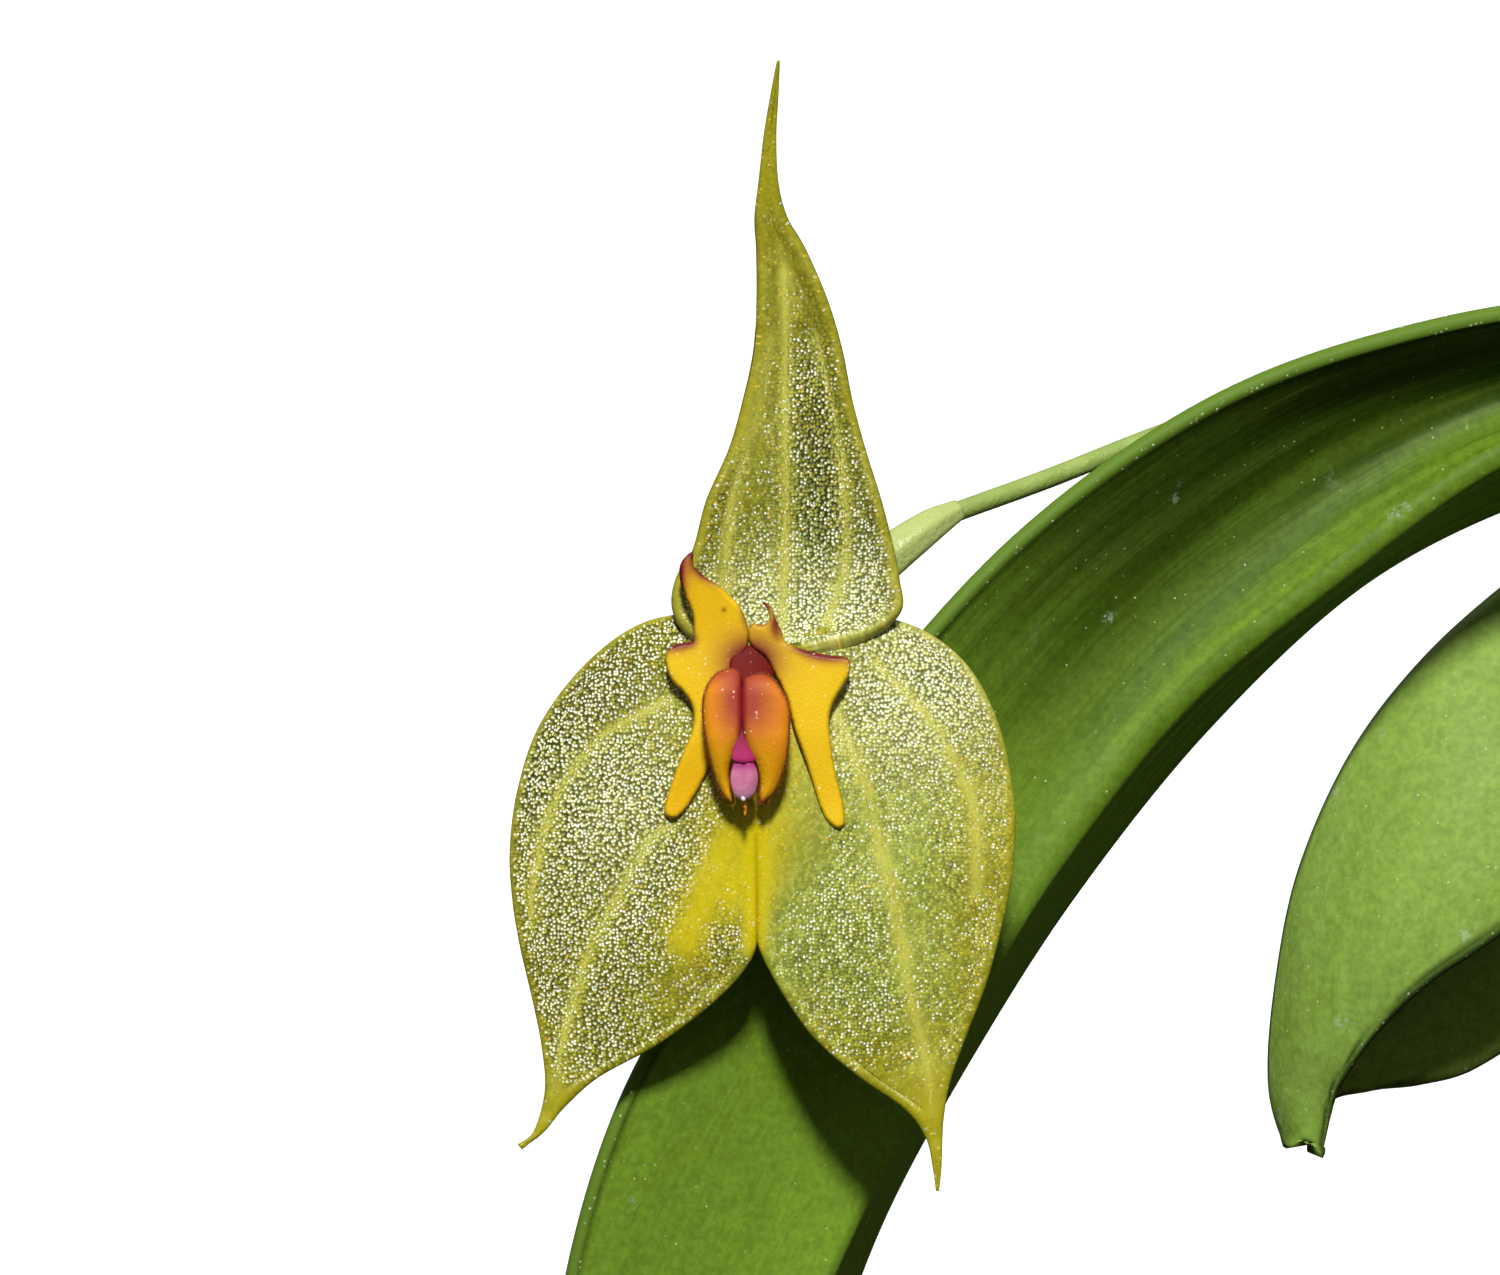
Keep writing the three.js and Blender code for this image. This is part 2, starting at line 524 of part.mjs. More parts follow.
const PETAL_DEPTH = -0.85;
const LEFT_PETAL = [[-1.42, 3.25], [-1.68, 3.0], [-1.68, 2.54], [-1.42, 1.89], [-1.39, 1.29], [-1.9, 1.17],
  [-2.0, 0.7], [-1.62, 0.17], [-1.39, -0.43], [-1.67, -1.26], [-2.03, -2.3], [-1.93, -2.6], [-1.58, -2.42],
  [-1.12, -1.63], [-1.0, -0.6], [-0.7, 0.4], [-0.42, 1.05], [-0.36, 1.7], [-0.84, 2.51], [-1.3, 2.86]];
const RIGHT_PETAL = [[0.05, 2.18], [0.26, 1.95], [0.2, 1.74], [-0.1, 1.66], [-0.06, 1.15], [0.25, 0.7],
  [0.6, 0.1], [0.78, -0.66], [1.11, -1.63], [1.39, -2.42], [1.71, -2.83], [1.9, -2.75], [1.85, -2.1],
  [1.6, -0.95], [1.62, -0.3], [2.05, 0.5], [2.07, 0.83], [1.7, 0.96], [0.9, 1.13], [0.6, 1.42],
  [0.42, 1.95]];

function petal(outline) {
  const shape = new THREE.Shape(outline.map(([x, z]) => new THREE.Vector2(x, z)));
  const geometry = new THREE.ExtrudeGeometry(shape, { depth: PETAL_THICKNESS, bevelEnabled: false });
  return solidFrom(geometry.rotateX(Math.PI / 2).translate(0, PETAL_DEPTH, 0));
}
place('petal_left', petal(LEFT_PETAL), PETAL, bloom);
place('petal_right', petal(RIGHT_PETAL), PETAL, bloom);

// The lip: two bean-shaped lobes that touch along a seam, with the column behind it and its tip below

const LEFT_LOBE = [[-0.68, -2.2, 0.66], [-0.67, -2.2, 0.4], [-0.74, -2.25, 0], [-0.74, -2.3, -0.7],
  [-0.74, -2.3, -1.3], [-0.72, -2.2, -1.8], [-0.6, -2.15, -2.2]];
const LEFT_LOBE_RADII = [0.14, 0.34, 0.43, 0.46, 0.36, 0.2, 0.08];
const RIGHT_LOBE = [[0.13, -2.2, 0.66], [0.14, -2.2, 0.4], [0.18, -2.25, 0], [0.22, -2.3, -0.7],
  [0.26, -2.3, -1.3], [0.28, -2.2, -1.8], [0.17, -2.15, -2.25]];
const RIGHT_LOBE_RADII = [0.2, 0.42, 0.49, 0.52, 0.42, 0.26, 0.1];
const COLUMN_LINE = [[-0.08, -1.9, 1.15], [-0.1, -1.95, 0.7], [-0.22, -1.85, -0.1], [-0.25, -1.85, -0.9],
  [-0.27, -2.05, -1.5], [-0.27, -2.2, -1.85], [-0.27, -2.2, -2.22]];
const COLUMN_RADII = [0.16, 0.4, 0.3, 0.25, 0.27, 0.28, 0.13];
const COLUMN_CLEARANCE = 0.1;
const columnPath = vecs(COLUMN_LINE);
place('column', tube(columnPath, COLUMN_RADII, 8), COLUMN, bloom);

const lobes = union([
  tube(vecs(LEFT_LOBE), LEFT_LOBE_RADII, 10),
  tube(vecs(RIGHT_LOBE), RIGHT_LOBE_RADII, 10),
  egg([-0.29, -2.38, -0.45], [0.3, 0.14, 0.75]),
]);
const cleft = tube(columnPath, COLUMN_RADII.map((r) => r + COLUMN_CLEARANCE), 8);
place('lip', lobes.subtract(cleft), LIP, bloom);

export default orchid;
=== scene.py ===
import math

import bpy
import numpy as np
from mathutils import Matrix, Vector
from mathutils.geometry import delaunay_2d_cdt


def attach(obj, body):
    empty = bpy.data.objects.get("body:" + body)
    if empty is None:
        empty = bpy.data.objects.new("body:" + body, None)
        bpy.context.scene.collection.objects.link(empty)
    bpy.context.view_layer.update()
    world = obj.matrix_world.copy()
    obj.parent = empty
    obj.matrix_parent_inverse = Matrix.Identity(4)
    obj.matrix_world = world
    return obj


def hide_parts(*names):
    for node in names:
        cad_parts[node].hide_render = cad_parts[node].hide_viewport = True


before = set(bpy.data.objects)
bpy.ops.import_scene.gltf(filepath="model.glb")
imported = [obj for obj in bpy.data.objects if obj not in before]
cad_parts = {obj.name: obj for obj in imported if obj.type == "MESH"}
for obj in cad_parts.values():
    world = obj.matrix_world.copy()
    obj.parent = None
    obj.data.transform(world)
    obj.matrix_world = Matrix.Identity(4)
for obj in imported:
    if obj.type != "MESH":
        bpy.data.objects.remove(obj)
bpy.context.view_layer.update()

MM = 0.001
rng = np.random.default_rng(11)

# The bloom's own frame: x right, y away from the viewer, z up, tilted up to face the camera
BLOOM_PLACE = np.array([-40.0, -6.0, 128.0])
BLOOM_UPTURN = math.radians(10)
COS_UP = math.cos(BLOOM_UPTURN)
SIN_UP = math.sin(BLOOM_UPTURN)


def turned_from_bloom(points):
    x, y, z = np.moveaxis(np.asarray(points, float), -1, 0)
    return np.stack([x, y * COS_UP + z * SIN_UP, z * COS_UP - y * SIN_UP], -1)


def from_bloom(points):
    return turned_from_bloom(points) + BLOOM_PLACE


# Curves and small sums


def unit(vectors):
    vectors = np.asarray(vectors, float)
    return vectors / np.maximum(np.linalg.norm(vectors, axis=-1, keepdims=True), 1e-12)


def ease(values, low, high):
    """0 at low, 1 at high, smooth between them. Low may be above high."""
    t = np.clip((np.asarray(values, float) - low) / (high - low), 0, 1)
    return t * t * (3 - 2 * t)


def crowded(columns):
    """Shares from 0 to 1 that lie closer together near both ends."""
    return (1 - np.cos(np.linspace(0, np.pi, columns + 1))) / 2


def around(sides):
    """Angles of a full turn in equal steps."""
    return np.linspace(0, 2 * np.pi, sides, endpoint=False)


def smooth(points, count):
    """count + 1 places on a smooth line through the points, evenly spaced from point to point."""
    p = np.asarray(points, float)
    p = np.concatenate([2 * p[:1] - p[1:2], p, 2 * p[-1:] - p[-2:-1]])
    t = np.linspace(0, len(points) - 1, count + 1)
    i = np.minimum(t.astype(int), len(points) - 2)
    w = (t - i).reshape((-1,) + (1,) * (p.ndim - 1))
    a, b, c, d = p[i], p[i + 1], p[i + 2], p[i + 3]
    return (
        (2 * w**3 - 3 * w**2 + 1) * b
        + (w**3 - 2 * w**2 + w) * (c - a) / 2
        + (3 * w**2 - 2 * w**3) * c
        + (w**3 - w**2) * (d - b) / 2
    )


def closed_smooth(points, per_point):
    """A smooth closed outline through the points."""
    p = np.asarray(points, float)
    looped = smooth(np.concatenate([p[-2:], p, p[:3]]), (len(p) + 4) * per_point)
    return looped[2 * per_point:(len(p) + 2) * per_point]


def distance_to_line(points, line, closed=False):
    """Distance from each 2-D point to a line through hand-placed points."""
    ends = np.asarray(line, float)
    starts = ends if closed else ends[:-1]
    stops = np.roll(ends, -1, axis=0) if closed else ends[1:]
    best = np.full(len(points), np.inf)
    for a, b in zip(starts, stops):
        span = b - a
        t = np.clip((points - a) @ span / max(span @ span, 1e-12), 0, 1)
        best = np.minimum(best, np.linalg.norm(points - a - t[:, None] * span, axis=1))
    return best


def frames_along(path):
    """Directions along a path, and two across it that don't twist."""
    ahead = unit(np.gradient(path, axis=0))
    sideways = np.empty_like(path)
    other = np.array([1.0, 0.3, 0.2])
    for i, forward in enumerate(ahead):
        other = other - forward * (other @ forward)
        other = other / np.linalg.norm(other)
        sideways[i] = other
    return ahead, sideways, np.cross(ahead, sideways)


def wobble(points, scale, seed=0.0):
    """A smooth made-up unevenness between about -1 and 1."""
    x, y, z = np.moveaxis(np.asarray(points, float) * scale, -1, 0)
    return (
        np.sin(1.7 * x + 2.3 * z + seed) * np.cos(2.1 * y - 1.1 * z + 2 * seed)
        + 0.6 * np.sin(3.9 * z - 2.9 * x + 1.3 * y + 3 * seed)
        + 0.4 * np.cos(5.3 * x + 4.7 * y - 3.7 * z + 5 * seed)
    ) / 2


# Materials


class Shade:
    """A node material built by short calls, each of which gives an output socket."""

    def __init__(self, name, roughness, sheen, more=()):
        self.material = bpy.data.materials.new(name)
        self.material.use_nodes = True
        self.tree = self.material.node_tree
        self.surface = self.tree.nodes["Principled BSDF"]
        for key, value in {"Roughness": roughness, "Specular IOR Level": sheen, **dict(more)}.items():
            self.feed(self.surface.inputs[key], value)

    def feed(self, socket, value):
        if isinstance(value, bpy.types.NodeSocket):
            self.tree.links.new(value, socket)
        elif socket.type == "RGBA" and len(value) == 3:
            socket.default_value = (*value, 1)
        else:
            socket.default_value = value

    def node(self, kind, inputs=(), **settings):
        made = self.tree.nodes.new("ShaderNode" + kind)
        for key, value in settings.items():
            setattr(made, key, value)
        for key, value in dict(inputs).items():
            self.feed(made.inputs[key], value)
        return made

    def sum(self, operation, *values):
        made = self.node("Math", operation=operation)
        for socket, value in zip(made.inputs, values):
            self.feed(socket, value)
        return made.outputs[0]

    def times(self, *values):
        return self.sum("MULTIPLY", *values)

    def plus(self, *values):
        return self.sum("ADD", *values)

    def vectors(self, operation, *values):
        made = self.node("VectorMath", operation=operation)
        for socket, value in zip(made.inputs, values):
            self.feed(socket, value)
        return made.outputs[0]

    def stretch(self, vector, factors):
        return self.vectors("MULTIPLY", vector, factors)

    def blend(self, factor, a, b, mode="MIX"):
        made = self.node("Mix", data_type="RGBA", blend_type=mode)
        for index, value in ((0, factor), (6, a), (7, b)):
            self.feed(made.inputs[index], value)
        return made.outputs[2]

    def ramp(self, value, low, high, to_low=0.0, to_high=1.0):
        made = self.node("MapRange", interpolation_type="SMOOTHSTEP")
        for socket, number in zip(made.inputs, (value, low, high, to_low, to_high)):
            self.feed(socket, number)
        return made.outputs[0]

    def mark(self, name):
        return self.node("Attribute", attribute_name=name).outputs["Fac"]

    def marked(self, color, **tones):
        """Lays tones over a colour, each where the mark of its name is."""
        for name, tone in tones.items():
            color = self.blend(self.mark(name), color, tone)
        return color

    def plan(self):
        return self.node("UVMap", uv_map="plan").outputs[0]

    def place(self):
        """The place in millimetres."""
        return self.stretch(self.node("TexCoord").outputs["Object"], (1 / MM,) * 3)

    def noise(self, vector, scale, detail=3.0, rough=0.55):
        inputs = {"Vector": vector, "Scale": scale, "Detail": detail, "Roughness": rough}
        return self.node("TexNoise", inputs).outputs[0]

    def cells(self, vector, scale, randomness=1.0, flat=False):
        inputs = {"Vector": vector, "Scale": scale, "Randomness": randomness}
        return self.node("TexVoronoi", inputs, voronoi_dimensions="2D" if flat else "3D")

    def grey(self, value):
        return self.node("CombineXYZ", {0: value, 1: value, 2: value}).outputs[0]

    def parts(self, vector):
        return self.node("SeparateXYZ", {0: vector}).outputs

    def bump(self, height, depth_mm, strength=1.0):
        inputs = {"Height": height, "Distance": depth_mm * MM, "Strength": strength}
        return self.node("Bump", inputs).outputs[0]

    def finish(self, color, normal):
        self.feed(self.surface.inputs["Base Color"], color)
        self.feed(self.surface.inputs["Normal"], normal)
        return self.material


CELL = 0.077  # width of one glittering surface cell
DOME_SLOPE = 0.9
CELL_LEAN = 0.45


def glitter(shade, plan, amount):
    """Domed cells: a shading normal, how near a cell's middle is, and three random numbers a cell."""
    grain = shade.cells(plan, 1 / CELL, 1.0, flat=True)
    offset = shade.vectors("SUBTRACT", plan, grain.outputs["Position"])
    dome = shade.stretch(offset, (DOME_SLOPE / CELL,) * 3)
    lean = shade.vectors("SUBTRACT", grain.outputs["Color"], (0.5, 0.5, 0.5))
    slope = shade.vectors("ADD", dome, shade.stretch(lean, (CELL_LEAN,) * 3))
    amount = shade.ramp(amount, 0.0, 0.6, 0.12, 1.0)
    x, y, _ = shade.parts(slope)
    x, y = shade.times(x, amount), shade.times(y, amount)
    inputs = {"X": x, "Y": shade.times(y, SIN_UP), "Z": shade.times(y, COS_UP)}
    tilt = shade.node("CombineXYZ", inputs).outputs[0]
    facing = shade.node("NewGeometry").outputs["Normal"]
    normal = shade.vectors("NORMALIZE", shade.vectors("ADD", facing, tilt))
    return normal, grain.outputs["Distance"], shade.parts(grain.outputs["Color"])


def sepal_finish():
    shade = Shade("sepal_cells", 0.34, 0.2)
    plan = shade.plan()
    patches = shade.noise(plan, 1.3, 4.0)
    mottle = shade.noise(plan, 5.0, 3.0, 0.6)
    # sparkle sets how strongly the domed cells tilt the shading, how many painted glints they get and how
    # much painted shade lies between them
    sparkle = shade.plus(shade.mark("sparkle"), shade.ramp(patches, 0.3, 0.7, -0.12, 0.12))
    sparkle = shade.plus(sparkle, shade.ramp(mottle, 0.3, 0.7, -0.14, 0.14))
    normal, distance, own = glitter(shade, plan, sparkle)
    ground = shade.blend(shade.ramp(patches, 0.35, 0.68), (0.235, 0.225, 0.012), (0.30, 0.29, 0.030))
    ground = shade.marked(ground, green=(0.255, 0.29, 0.042), pale=(0.50, 0.53, 0.20))
    tone = shade.ramp(own[1], 0.0, 1.0, 0.78, 1.2)
    tone = shade.times(tone, shade.sum("SUBTRACT", 1.0, shade.mark("dim")))
    ground = shade.blend(1.0, ground, shade.grey(tone), "MULTIPLY")
    # The rim tone is partly the margins' own colour and partly painted light on thin glowing edges and the
    # foot strip
    ground = shade.marked(ground, vein=(0.40, 0.39, 0.060), rim=(0.265, 0.24, 0.006),
                          yolk=(0.50, 0.40, 0.002), seam=(0.28, 0.18, 0.002))
    # Painted shade: the gaps between the domed cells are darkened, more where the sparkle and deep marks are
    gap_shade = shade.ramp(distance, 0.31, 0.55)
    dark = shade.times(gap_shade, shade.plus(sparkle, shade.mark("deep")))
    ground = shade.blend(shade.times(dark, 0.72), ground, (0.034, 0.040, 0.003))
    # Painted highlights: a cream dot in the middle of each glittering cell stands in for the glint of light
    # on it, brighter in some cells than others
    glint_spot = shade.ramp(distance, 0.42, 0.14)
    lit = shade.ramp(shade.plus(own[0], shade.times(sparkle, 0.78)), 0.90, 1.20)
    glint_power = shade.ramp(own[2], 0.0, 1.0, 0.52, 1.0)
    dot = shade.times(shade.times(lit, glint_spot), glint_power)
    color = shade.blend(dot, ground, (0.86, 0.88, 0.82))
    # A few painted orange-gold glints as well
    golden_glint = shade.times(shade.times(shade.ramp(own[2], 0.93, 0.95), glint_spot), 0.5)
    color = shade.blend(golden_glint, color, (0.85, 0.45, 0.05))
    return shade.finish(color, normal)


def waxy_finish(name, base, warm, dark, roughness=0.42):
    """Waxy flower tissue: a base colour, a warmer one in patches, and the dark and blush marks' colours."""
    shade = Shade(name, roughness, 0.16, {"Subsurface Weight": 0.12, "Subsurface Scale": 0.0003,
                                          "Subsurface Radius": (1.0, 0.6, 0.1)})
    place = shade.place()
    patches = shade.ramp(shade.noise(place, 1.1), 0.3, 0.75)
    color = shade.blend(shade.times(patches, 0.35), base, warm)
    color = shade.marked(color, warm=warm, blush=(0.30, 0.045, 0.022), dark=dark)
    grain = shade.cells(place, 8.0)
    fine = shade.cells(place, 14.0)
    own = shade.parts(grain.outputs["Color"])
    speck = shade.times(shade.ramp(grain.outputs["Distance"], 0.28, 0.08), shade.ramp(own[0], 0.7, 0.95))
    frosted = shade.plus(0.12, shade.times(shade.mark("frost"), 0.75))
    color = shade.blend(shade.times(speck, frosted), color, (0.98, 0.92, 0.72))
    return shade.finish(color, shade.bump(fine.outputs["Distance"], -0.012, 0.4))


def leaf_finish(name, deep, lit, edge_color=(0.085, 0.15, 0.015)):
    """Fleshy leaf: streaked and mottled green, with a paler edge, a row of painted glints along it, a
    painted shadow line inside it, and painted shade where its shade mark is.
    """
    shade = Shade(name, 0.5, 0.07)
    plan = shade.plan()
    place = shade.place()
    streaks = shade.noise(shade.stretch(plan, (1.5, 0.06, 1.0)), 1.0, 4.0, 0.6)
    lines = shade.noise(shade.stretch(plan, (5.0, 0.10, 1.0)), 1.0, 2.0)
    patches = shade.noise(place, 0.35, 4.0)
    streaked = shade.ramp(streaks, 0.38, 0.64, -0.85, 0.15)
    streaked = shade.sum("MULTIPLY_ADD", streaked, shade.mark("streak"), 0.85)
    color = shade.blend(streaked, deep, lit)
    color = shade.blend(shade.ramp(patches, 0.5, 0.75, 0.0, 0.4), color, (0.12, 0.20, 0.008))
    lined = shade.times(shade.ramp(lines, 0.42, 0.30, 0.0, 0.35), shade.mark("streak"))
    color = shade.blend(lined, color, deep)
    color = shade.marked(color, vein=lit)
    mottle = shade.plus(shade.ramp(shade.noise(place, 3.2, 2.0, 0.5), 0.3, 0.7, 0.43, 0.59),
                       shade.ramp(shade.noise(place, 7.0, 2.0, 0.5), 0.3, 0.7, 0.39, 0.59))
    # Painted shade: the mottled tone is darkened where the shade mark is
    mottle = shade.times(mottle, shade.sum("SUBTRACT", 1.0, shade.mark("shade")))
    color = shade.blend(1.0, color, shade.grey(mottle), "MULTIPLY")
    pores = shade.cells(place, 4.5)
    lucky = shade.ramp(shade.parts(pores.outputs["Color"])[0], 0.5, 0.95)
    pore = shade.times(shade.ramp(pores.outputs["Distance"], 0.15, 0.05), lucky)
    color = shade.blend(shade.times(pore, 0.6), color, (0.50, 0.60, 0.35))
    dust = shade.cells(place, 0.75)
    own = shade.parts(dust.outputs["Color"])
    ragged = shade.plus(dust.outputs["Distance"], shade.times(shade.noise(place, 4.0, 5.0, 0.75), 1.3))
    speck = shade.times(shade.ramp(ragged, 0.82, 0.60), shade.ramp(own[0], 0.55, 0.85))
    color = shade.blend(shade.times(speck, 0.45), color, (0.36, 0.44, 0.30))
    # A painted shadow line just inside the margin
    color = shade.marked(color, rim=edge_color, crease=(0.006, 0.016, 0.001))
    # Painted glints: a row of bright dots along the margin
    margin_glints = shade.cells(place, 9.0)
    margin_glint = shade.times(shade.ramp(margin_glints.outputs["Distance"], 0.34, 0.14), shade.mark("margin_glints"))
    pick = shade.ramp(shade.parts(margin_glints.outputs["Color"])[0], 0.5, 0.95)
    color = shade.blend(shade.times(margin_glint, pick), color, (0.75, 0.82, 0.60))
    relief = shade.plus(shade.times(streaks, 1.0), shade.times(mottle, 0.25))
    return shade.finish(color, shade.bump(relief, 0.08, 0.6))


def stalk_finish():
    shade = Shade("pale_stalk", 0.36, 0.5, {"Subsurface Weight": 0.2, "Subsurface Scale": 0.0008,
                                            "Subsurface Radius": (0.8, 1.0, 0.3)})
    place = shade.place()
    patches = shade.noise(place, 1.4)
    color = shade.blend(shade.ramp(patches, 0.35, 0.7), (0.15, 0.235, 0.035), (0.21, 0.29, 0.06))
    color = shade.marked(color, pale=(0.33, 0.385, 0.12), dry=(0.20, 0.15, 0.07))
    return shade.finish(color, shade.bump(shade.noise(place, 9.0, 2.0), 0.05, 0.6))


def sheath_finish():
    shade = Shade("papery_sheath", 0.55, 0.35)
    place = shade.place()
    patches = shade.noise(place, 0.9, 4.0)
    dry = shade.blend(shade.ramp(patches, 0.35, 0.65), (0.17, 0.105, 0.045), (0.34, 0.25, 0.12))
    young = shade.blend(shade.ramp(patches, 0.35, 0.65), (0.16, 0.20, 0.06), (0.26, 0.28, 0.10))
    color = shade.marked(young, age=dry, rib=(0.06, 0.035, 0.015))
    return shade.finish(color, shade.bump(shade.noise(place, 6.0, 3.0), 0.06, 0.6))


def moss_finish():
    shade = Shade("moss", 0.8, 0.25)
    place = shade.place()
    patches = shade.noise(place, 0.16, 4.0)
    deep = shade.blend(shade.ramp(patches, 0.4, 0.62), (0.030, 0.042, 0.008), (0.055, 0.045, 0.018))
    fresh = shade.blend(shade.ramp(patches, 0.4, 0.62), (0.19, 0.27, 0.035), (0.30, 0.28, 0.075))
    color = shade.marked(deep, tip=fresh)
    return shade.finish(color, shade.bump(shade.noise(place, 5.0, 3.0), 0.25, 0.7))


def clay_finish():
    shade = Shade("clay", 0.86, 0.25)
    place = shade.place()
    height = shade.parts(place)[2]
    broad = shade.noise(place, 0.045, 5.0)
    fine = shade.noise(place, 1.3, 5.0, 0.7)
    rings = shade.noise(shade.stretch(place, (0.01, 0.01, 0.9)), 1.0, 3.0)
    color = shade.blend(shade.ramp(fine, 0.35, 0.68), (0.42, 0.165, 0.075), (0.56, 0.25, 0.13))
    color = shade.blend(shade.ramp(rings, 0.45, 0.7, 0.0, 0.35), color, (0.34, 0.12, 0.055))
    damp_edge = shade.plus(height, shade.times(broad, 26.0))
    color = shade.blend(shade.ramp(damp_edge, 44.0, 8.0, 0.0, 0.45), color, (0.21, 0.085, 0.045))
    crust = shade.times(shade.ramp(broad, 0.50, 0.66), shade.ramp(fine, 0.38, 0.6))
    color = shade.blend(shade.times(crust, 0.65), color, (0.66, 0.56, 0.46))
    algae = shade.times(shade.ramp(shade.noise(place, 0.07, 4.0), 0.52, 0.7), shade.ramp(height, 34.0, 4.0))
    color = shade.blend(shade.times(algae, 0.5), color, (0.15, 0.15, 0.05))
    worn = shade.ramp(shade.node("NewGeometry").outputs["Pointiness"], 0.53, 0.60, 0.0, 0.45)
    color = shade.blend(worn, color, (0.64, 0.36, 0.22))
    grit = shade.plus(shade.times(rings, 1.6), fine)
    return shade.finish(color, shade.bump(grit, 0.16, 0.7))


# Meshes


def mesh_of(name, points, faces):
    mesh = bpy.data.meshes.new(name)
    mesh.from_pydata((np.asarray(points, float) * MM).tolist(), [], [list(map(int, f)) for f in faces])
    return mesh


def placed(name, data):
    """An object in the scene's own collection."""
    made = bpy.data.objects.new(name, data)
    bpy.context.scene.collection.objects.link(made)
    return made


def piece(name, points, faces, material, replaces=(), marks=None, plan=None):
    """A named mesh that stays with the object, with its marks on the points and its plan as a UV map."""
    mesh = mesh_of(name, points, faces)
    for key, values in (marks or {}).items():
        layer = mesh.attributes.new(key, "FLOAT", "POINT")
        layer.data.foreach_set("value", np.asarray(values, np.float32).ravel())
    if plan is not None:
        corners = np.empty(len(mesh.loops), np.int32)
        mesh.loops.foreach_get("vertex_index", corners)
        flat = np.asarray(plan, np.float32).reshape(-1, 2)[corners]
        mesh.uv_layers.new(name="plan").data.foreach_set("uv", flat.ravel())
    mesh.shade_smooth()
    mesh.materials.append(material)
    made = placed(name, mesh)
    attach(made, "root")
    if replaces:
        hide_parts(*replaces)
    return made


class Heap:
    """Several closed bodies gathered into one mesh."""

    def __init__(self):
        self.points = []
        self.faces = []
        self.marks = {}
        self.plans = []
        self.count = 0

    def add(self, points, faces, marks=None, plan=None):
        points = np.asarray(points, float).reshape(-1, 3)
        self.points.append(points)
        self.faces.extend((np.asarray(f) + self.count).tolist() for f in faces)
        for key in set(self.marks) | set(marks or {}):
            known = self.marks.setdefault(key, [np.zeros(self.count)])
            known.append(np.broadcast_to((marks or {}).get(key, 0.0), len(points)))
        self.plans.append(np.zeros((len(points), 2)) if plan is None else np.asarray(plan).reshape(-1, 2))
        self.count += len(points)
        return self

    def piece(self, name, material, slot, replaces=()):
        marks = {key: np.concatenate(values) for key, values in self.marks.items()}
        return piece(name, np.concatenate(self.points), self.faces, material, replaces, marks,
                     np.concatenate(self.plans))


def grid_faces(rows, columns, start=0):
    i, j = np.meshgrid(np.arange(rows - 1), np.arange(columns - 1), indexing="ij")
    a = start + i * columns + j
    return np.stack([a, a + 1, a + columns + 1, a + columns], -1).reshape(-1, 4)


def shell(grid, thickness, raised=0.0):
    """A closed body round a grid of mid-surface points. raised lifts the side that faces the viewer."""
    rows, columns, _ = grid.shape
    normal = unit(np.cross(np.gradient(grid, axis=1), np.gradient(grid, axis=0)))
    half = np.asarray(thickness)[..., None] / 2 * normal
    lift = np.broadcast_to(np.asarray(raised, float), (rows, columns))[..., None] * normal
    away = normal[..., 1].mean() > 0
    count = rows * columns
    points = np.concatenate([
        (grid + half + (0 if away else lift)).reshape(-1, 3),
        (grid - half - (lift if away else 0)).reshape(-1, 3),
    ])
    front = grid_faces(rows, columns)
    back = grid_faces(rows, columns, count)[:, ::-1]
    order = np.arange(count).reshape(rows, columns)
    loop = np.concatenate([order[0, :-1], order[:-1, -1], order[-1, :0:-1], order[:0:-1, 0]])
    ahead = np.roll(loop, -1)
    edge = np.stack([loop, loop + count, ahead + count, ahead], -1)
    return points, np.concatenate([front, back, edge]).tolist()


def both_sides(values):
    return np.concatenate([np.asarray(values).ravel()] * 2)


def rounded_edge(distance, radius):
    """Share of the full thickness at a distance from an edge that is a half round."""
    return np.sqrt(np.clip(1 - (1 - np.clip(distance / radius, 0, 1)) ** 2, 0.012, 1))


def swept(path, wide, deep, sides):
    """A closed tube of oval section, with its half sizes given at each point of the path."""
    _, sideways, other = frames_along(path)
    turn = around(sides)
    wide = np.broadcast_to(wide, len(path))[:, None, None]
    deep = np.broadcast_to(deep, len(path))[:, None, None]
    ring = (
        path[:, None]
        + wide * np.cos(turn)[None, :, None] * sideways[:, None]
        + deep * np.sin(turn)[None, :, None] * other[:, None]
    )
    return tube_body(ring)


def tube_body(rings):
    """Closes a stack of rings with a middle point at each end."""
    count, sides, _ = rings.shape
    points = np.concatenate([rings.reshape(-1, 3), rings[0].mean(0)[None], rings[-1].mean(0)[None]])
    faces = []
    for i in range(count - 1):
        for k in range(sides):
            a, b = i * sides + k, i * sides + (k + 1) % sides
            faces.append([a, b, b + sides, a + sides])
    foot, head, last = count * sides, count * sides + 1, (count - 1) * sides
    for k in range(sides):
        n = (k + 1) % sides
        faces.append([foot, n, k])
        faces.append([head, last + k, last + n])
    return points, faces


def thorns(bases, directions, lengths, radius):
    """Slim three-sided closed hairs."""
    bases, directions = np.asarray(bases, float), unit(directions)
    count = len(bases)
    side = unit(np.cross(directions, np.array([0.31, 0.87, 0.38])))
    other = np.cross(directions, side)
    corners = []
    for k in range(3):
        turn = 2 * np.pi * k / 3
        corners.append(bases + radius * (math.cos(turn) * side + math.sin(turn) * other))
    tips = bases + directions * np.broadcast_to(lengths, count)[:, None]
    points = np.stack([*corners, tips], 1).reshape(-1, 3)
    start = 4 * np.arange(count)[:, None]
    patterns = ([0, 2, 1], [0, 1, 3], [1, 2, 3], [2, 0, 3])
    faces = np.concatenate([start + np.array(p) for p in patterns])
    return points, faces.tolist()


# The sepals: fine sheets between the same left and right rails as the construction has

def rail(places, depths):
    """Puts depths between the x and z of a rail's points."""
    return [[x, y, z] for (x, z), y in zip(places, depths)]


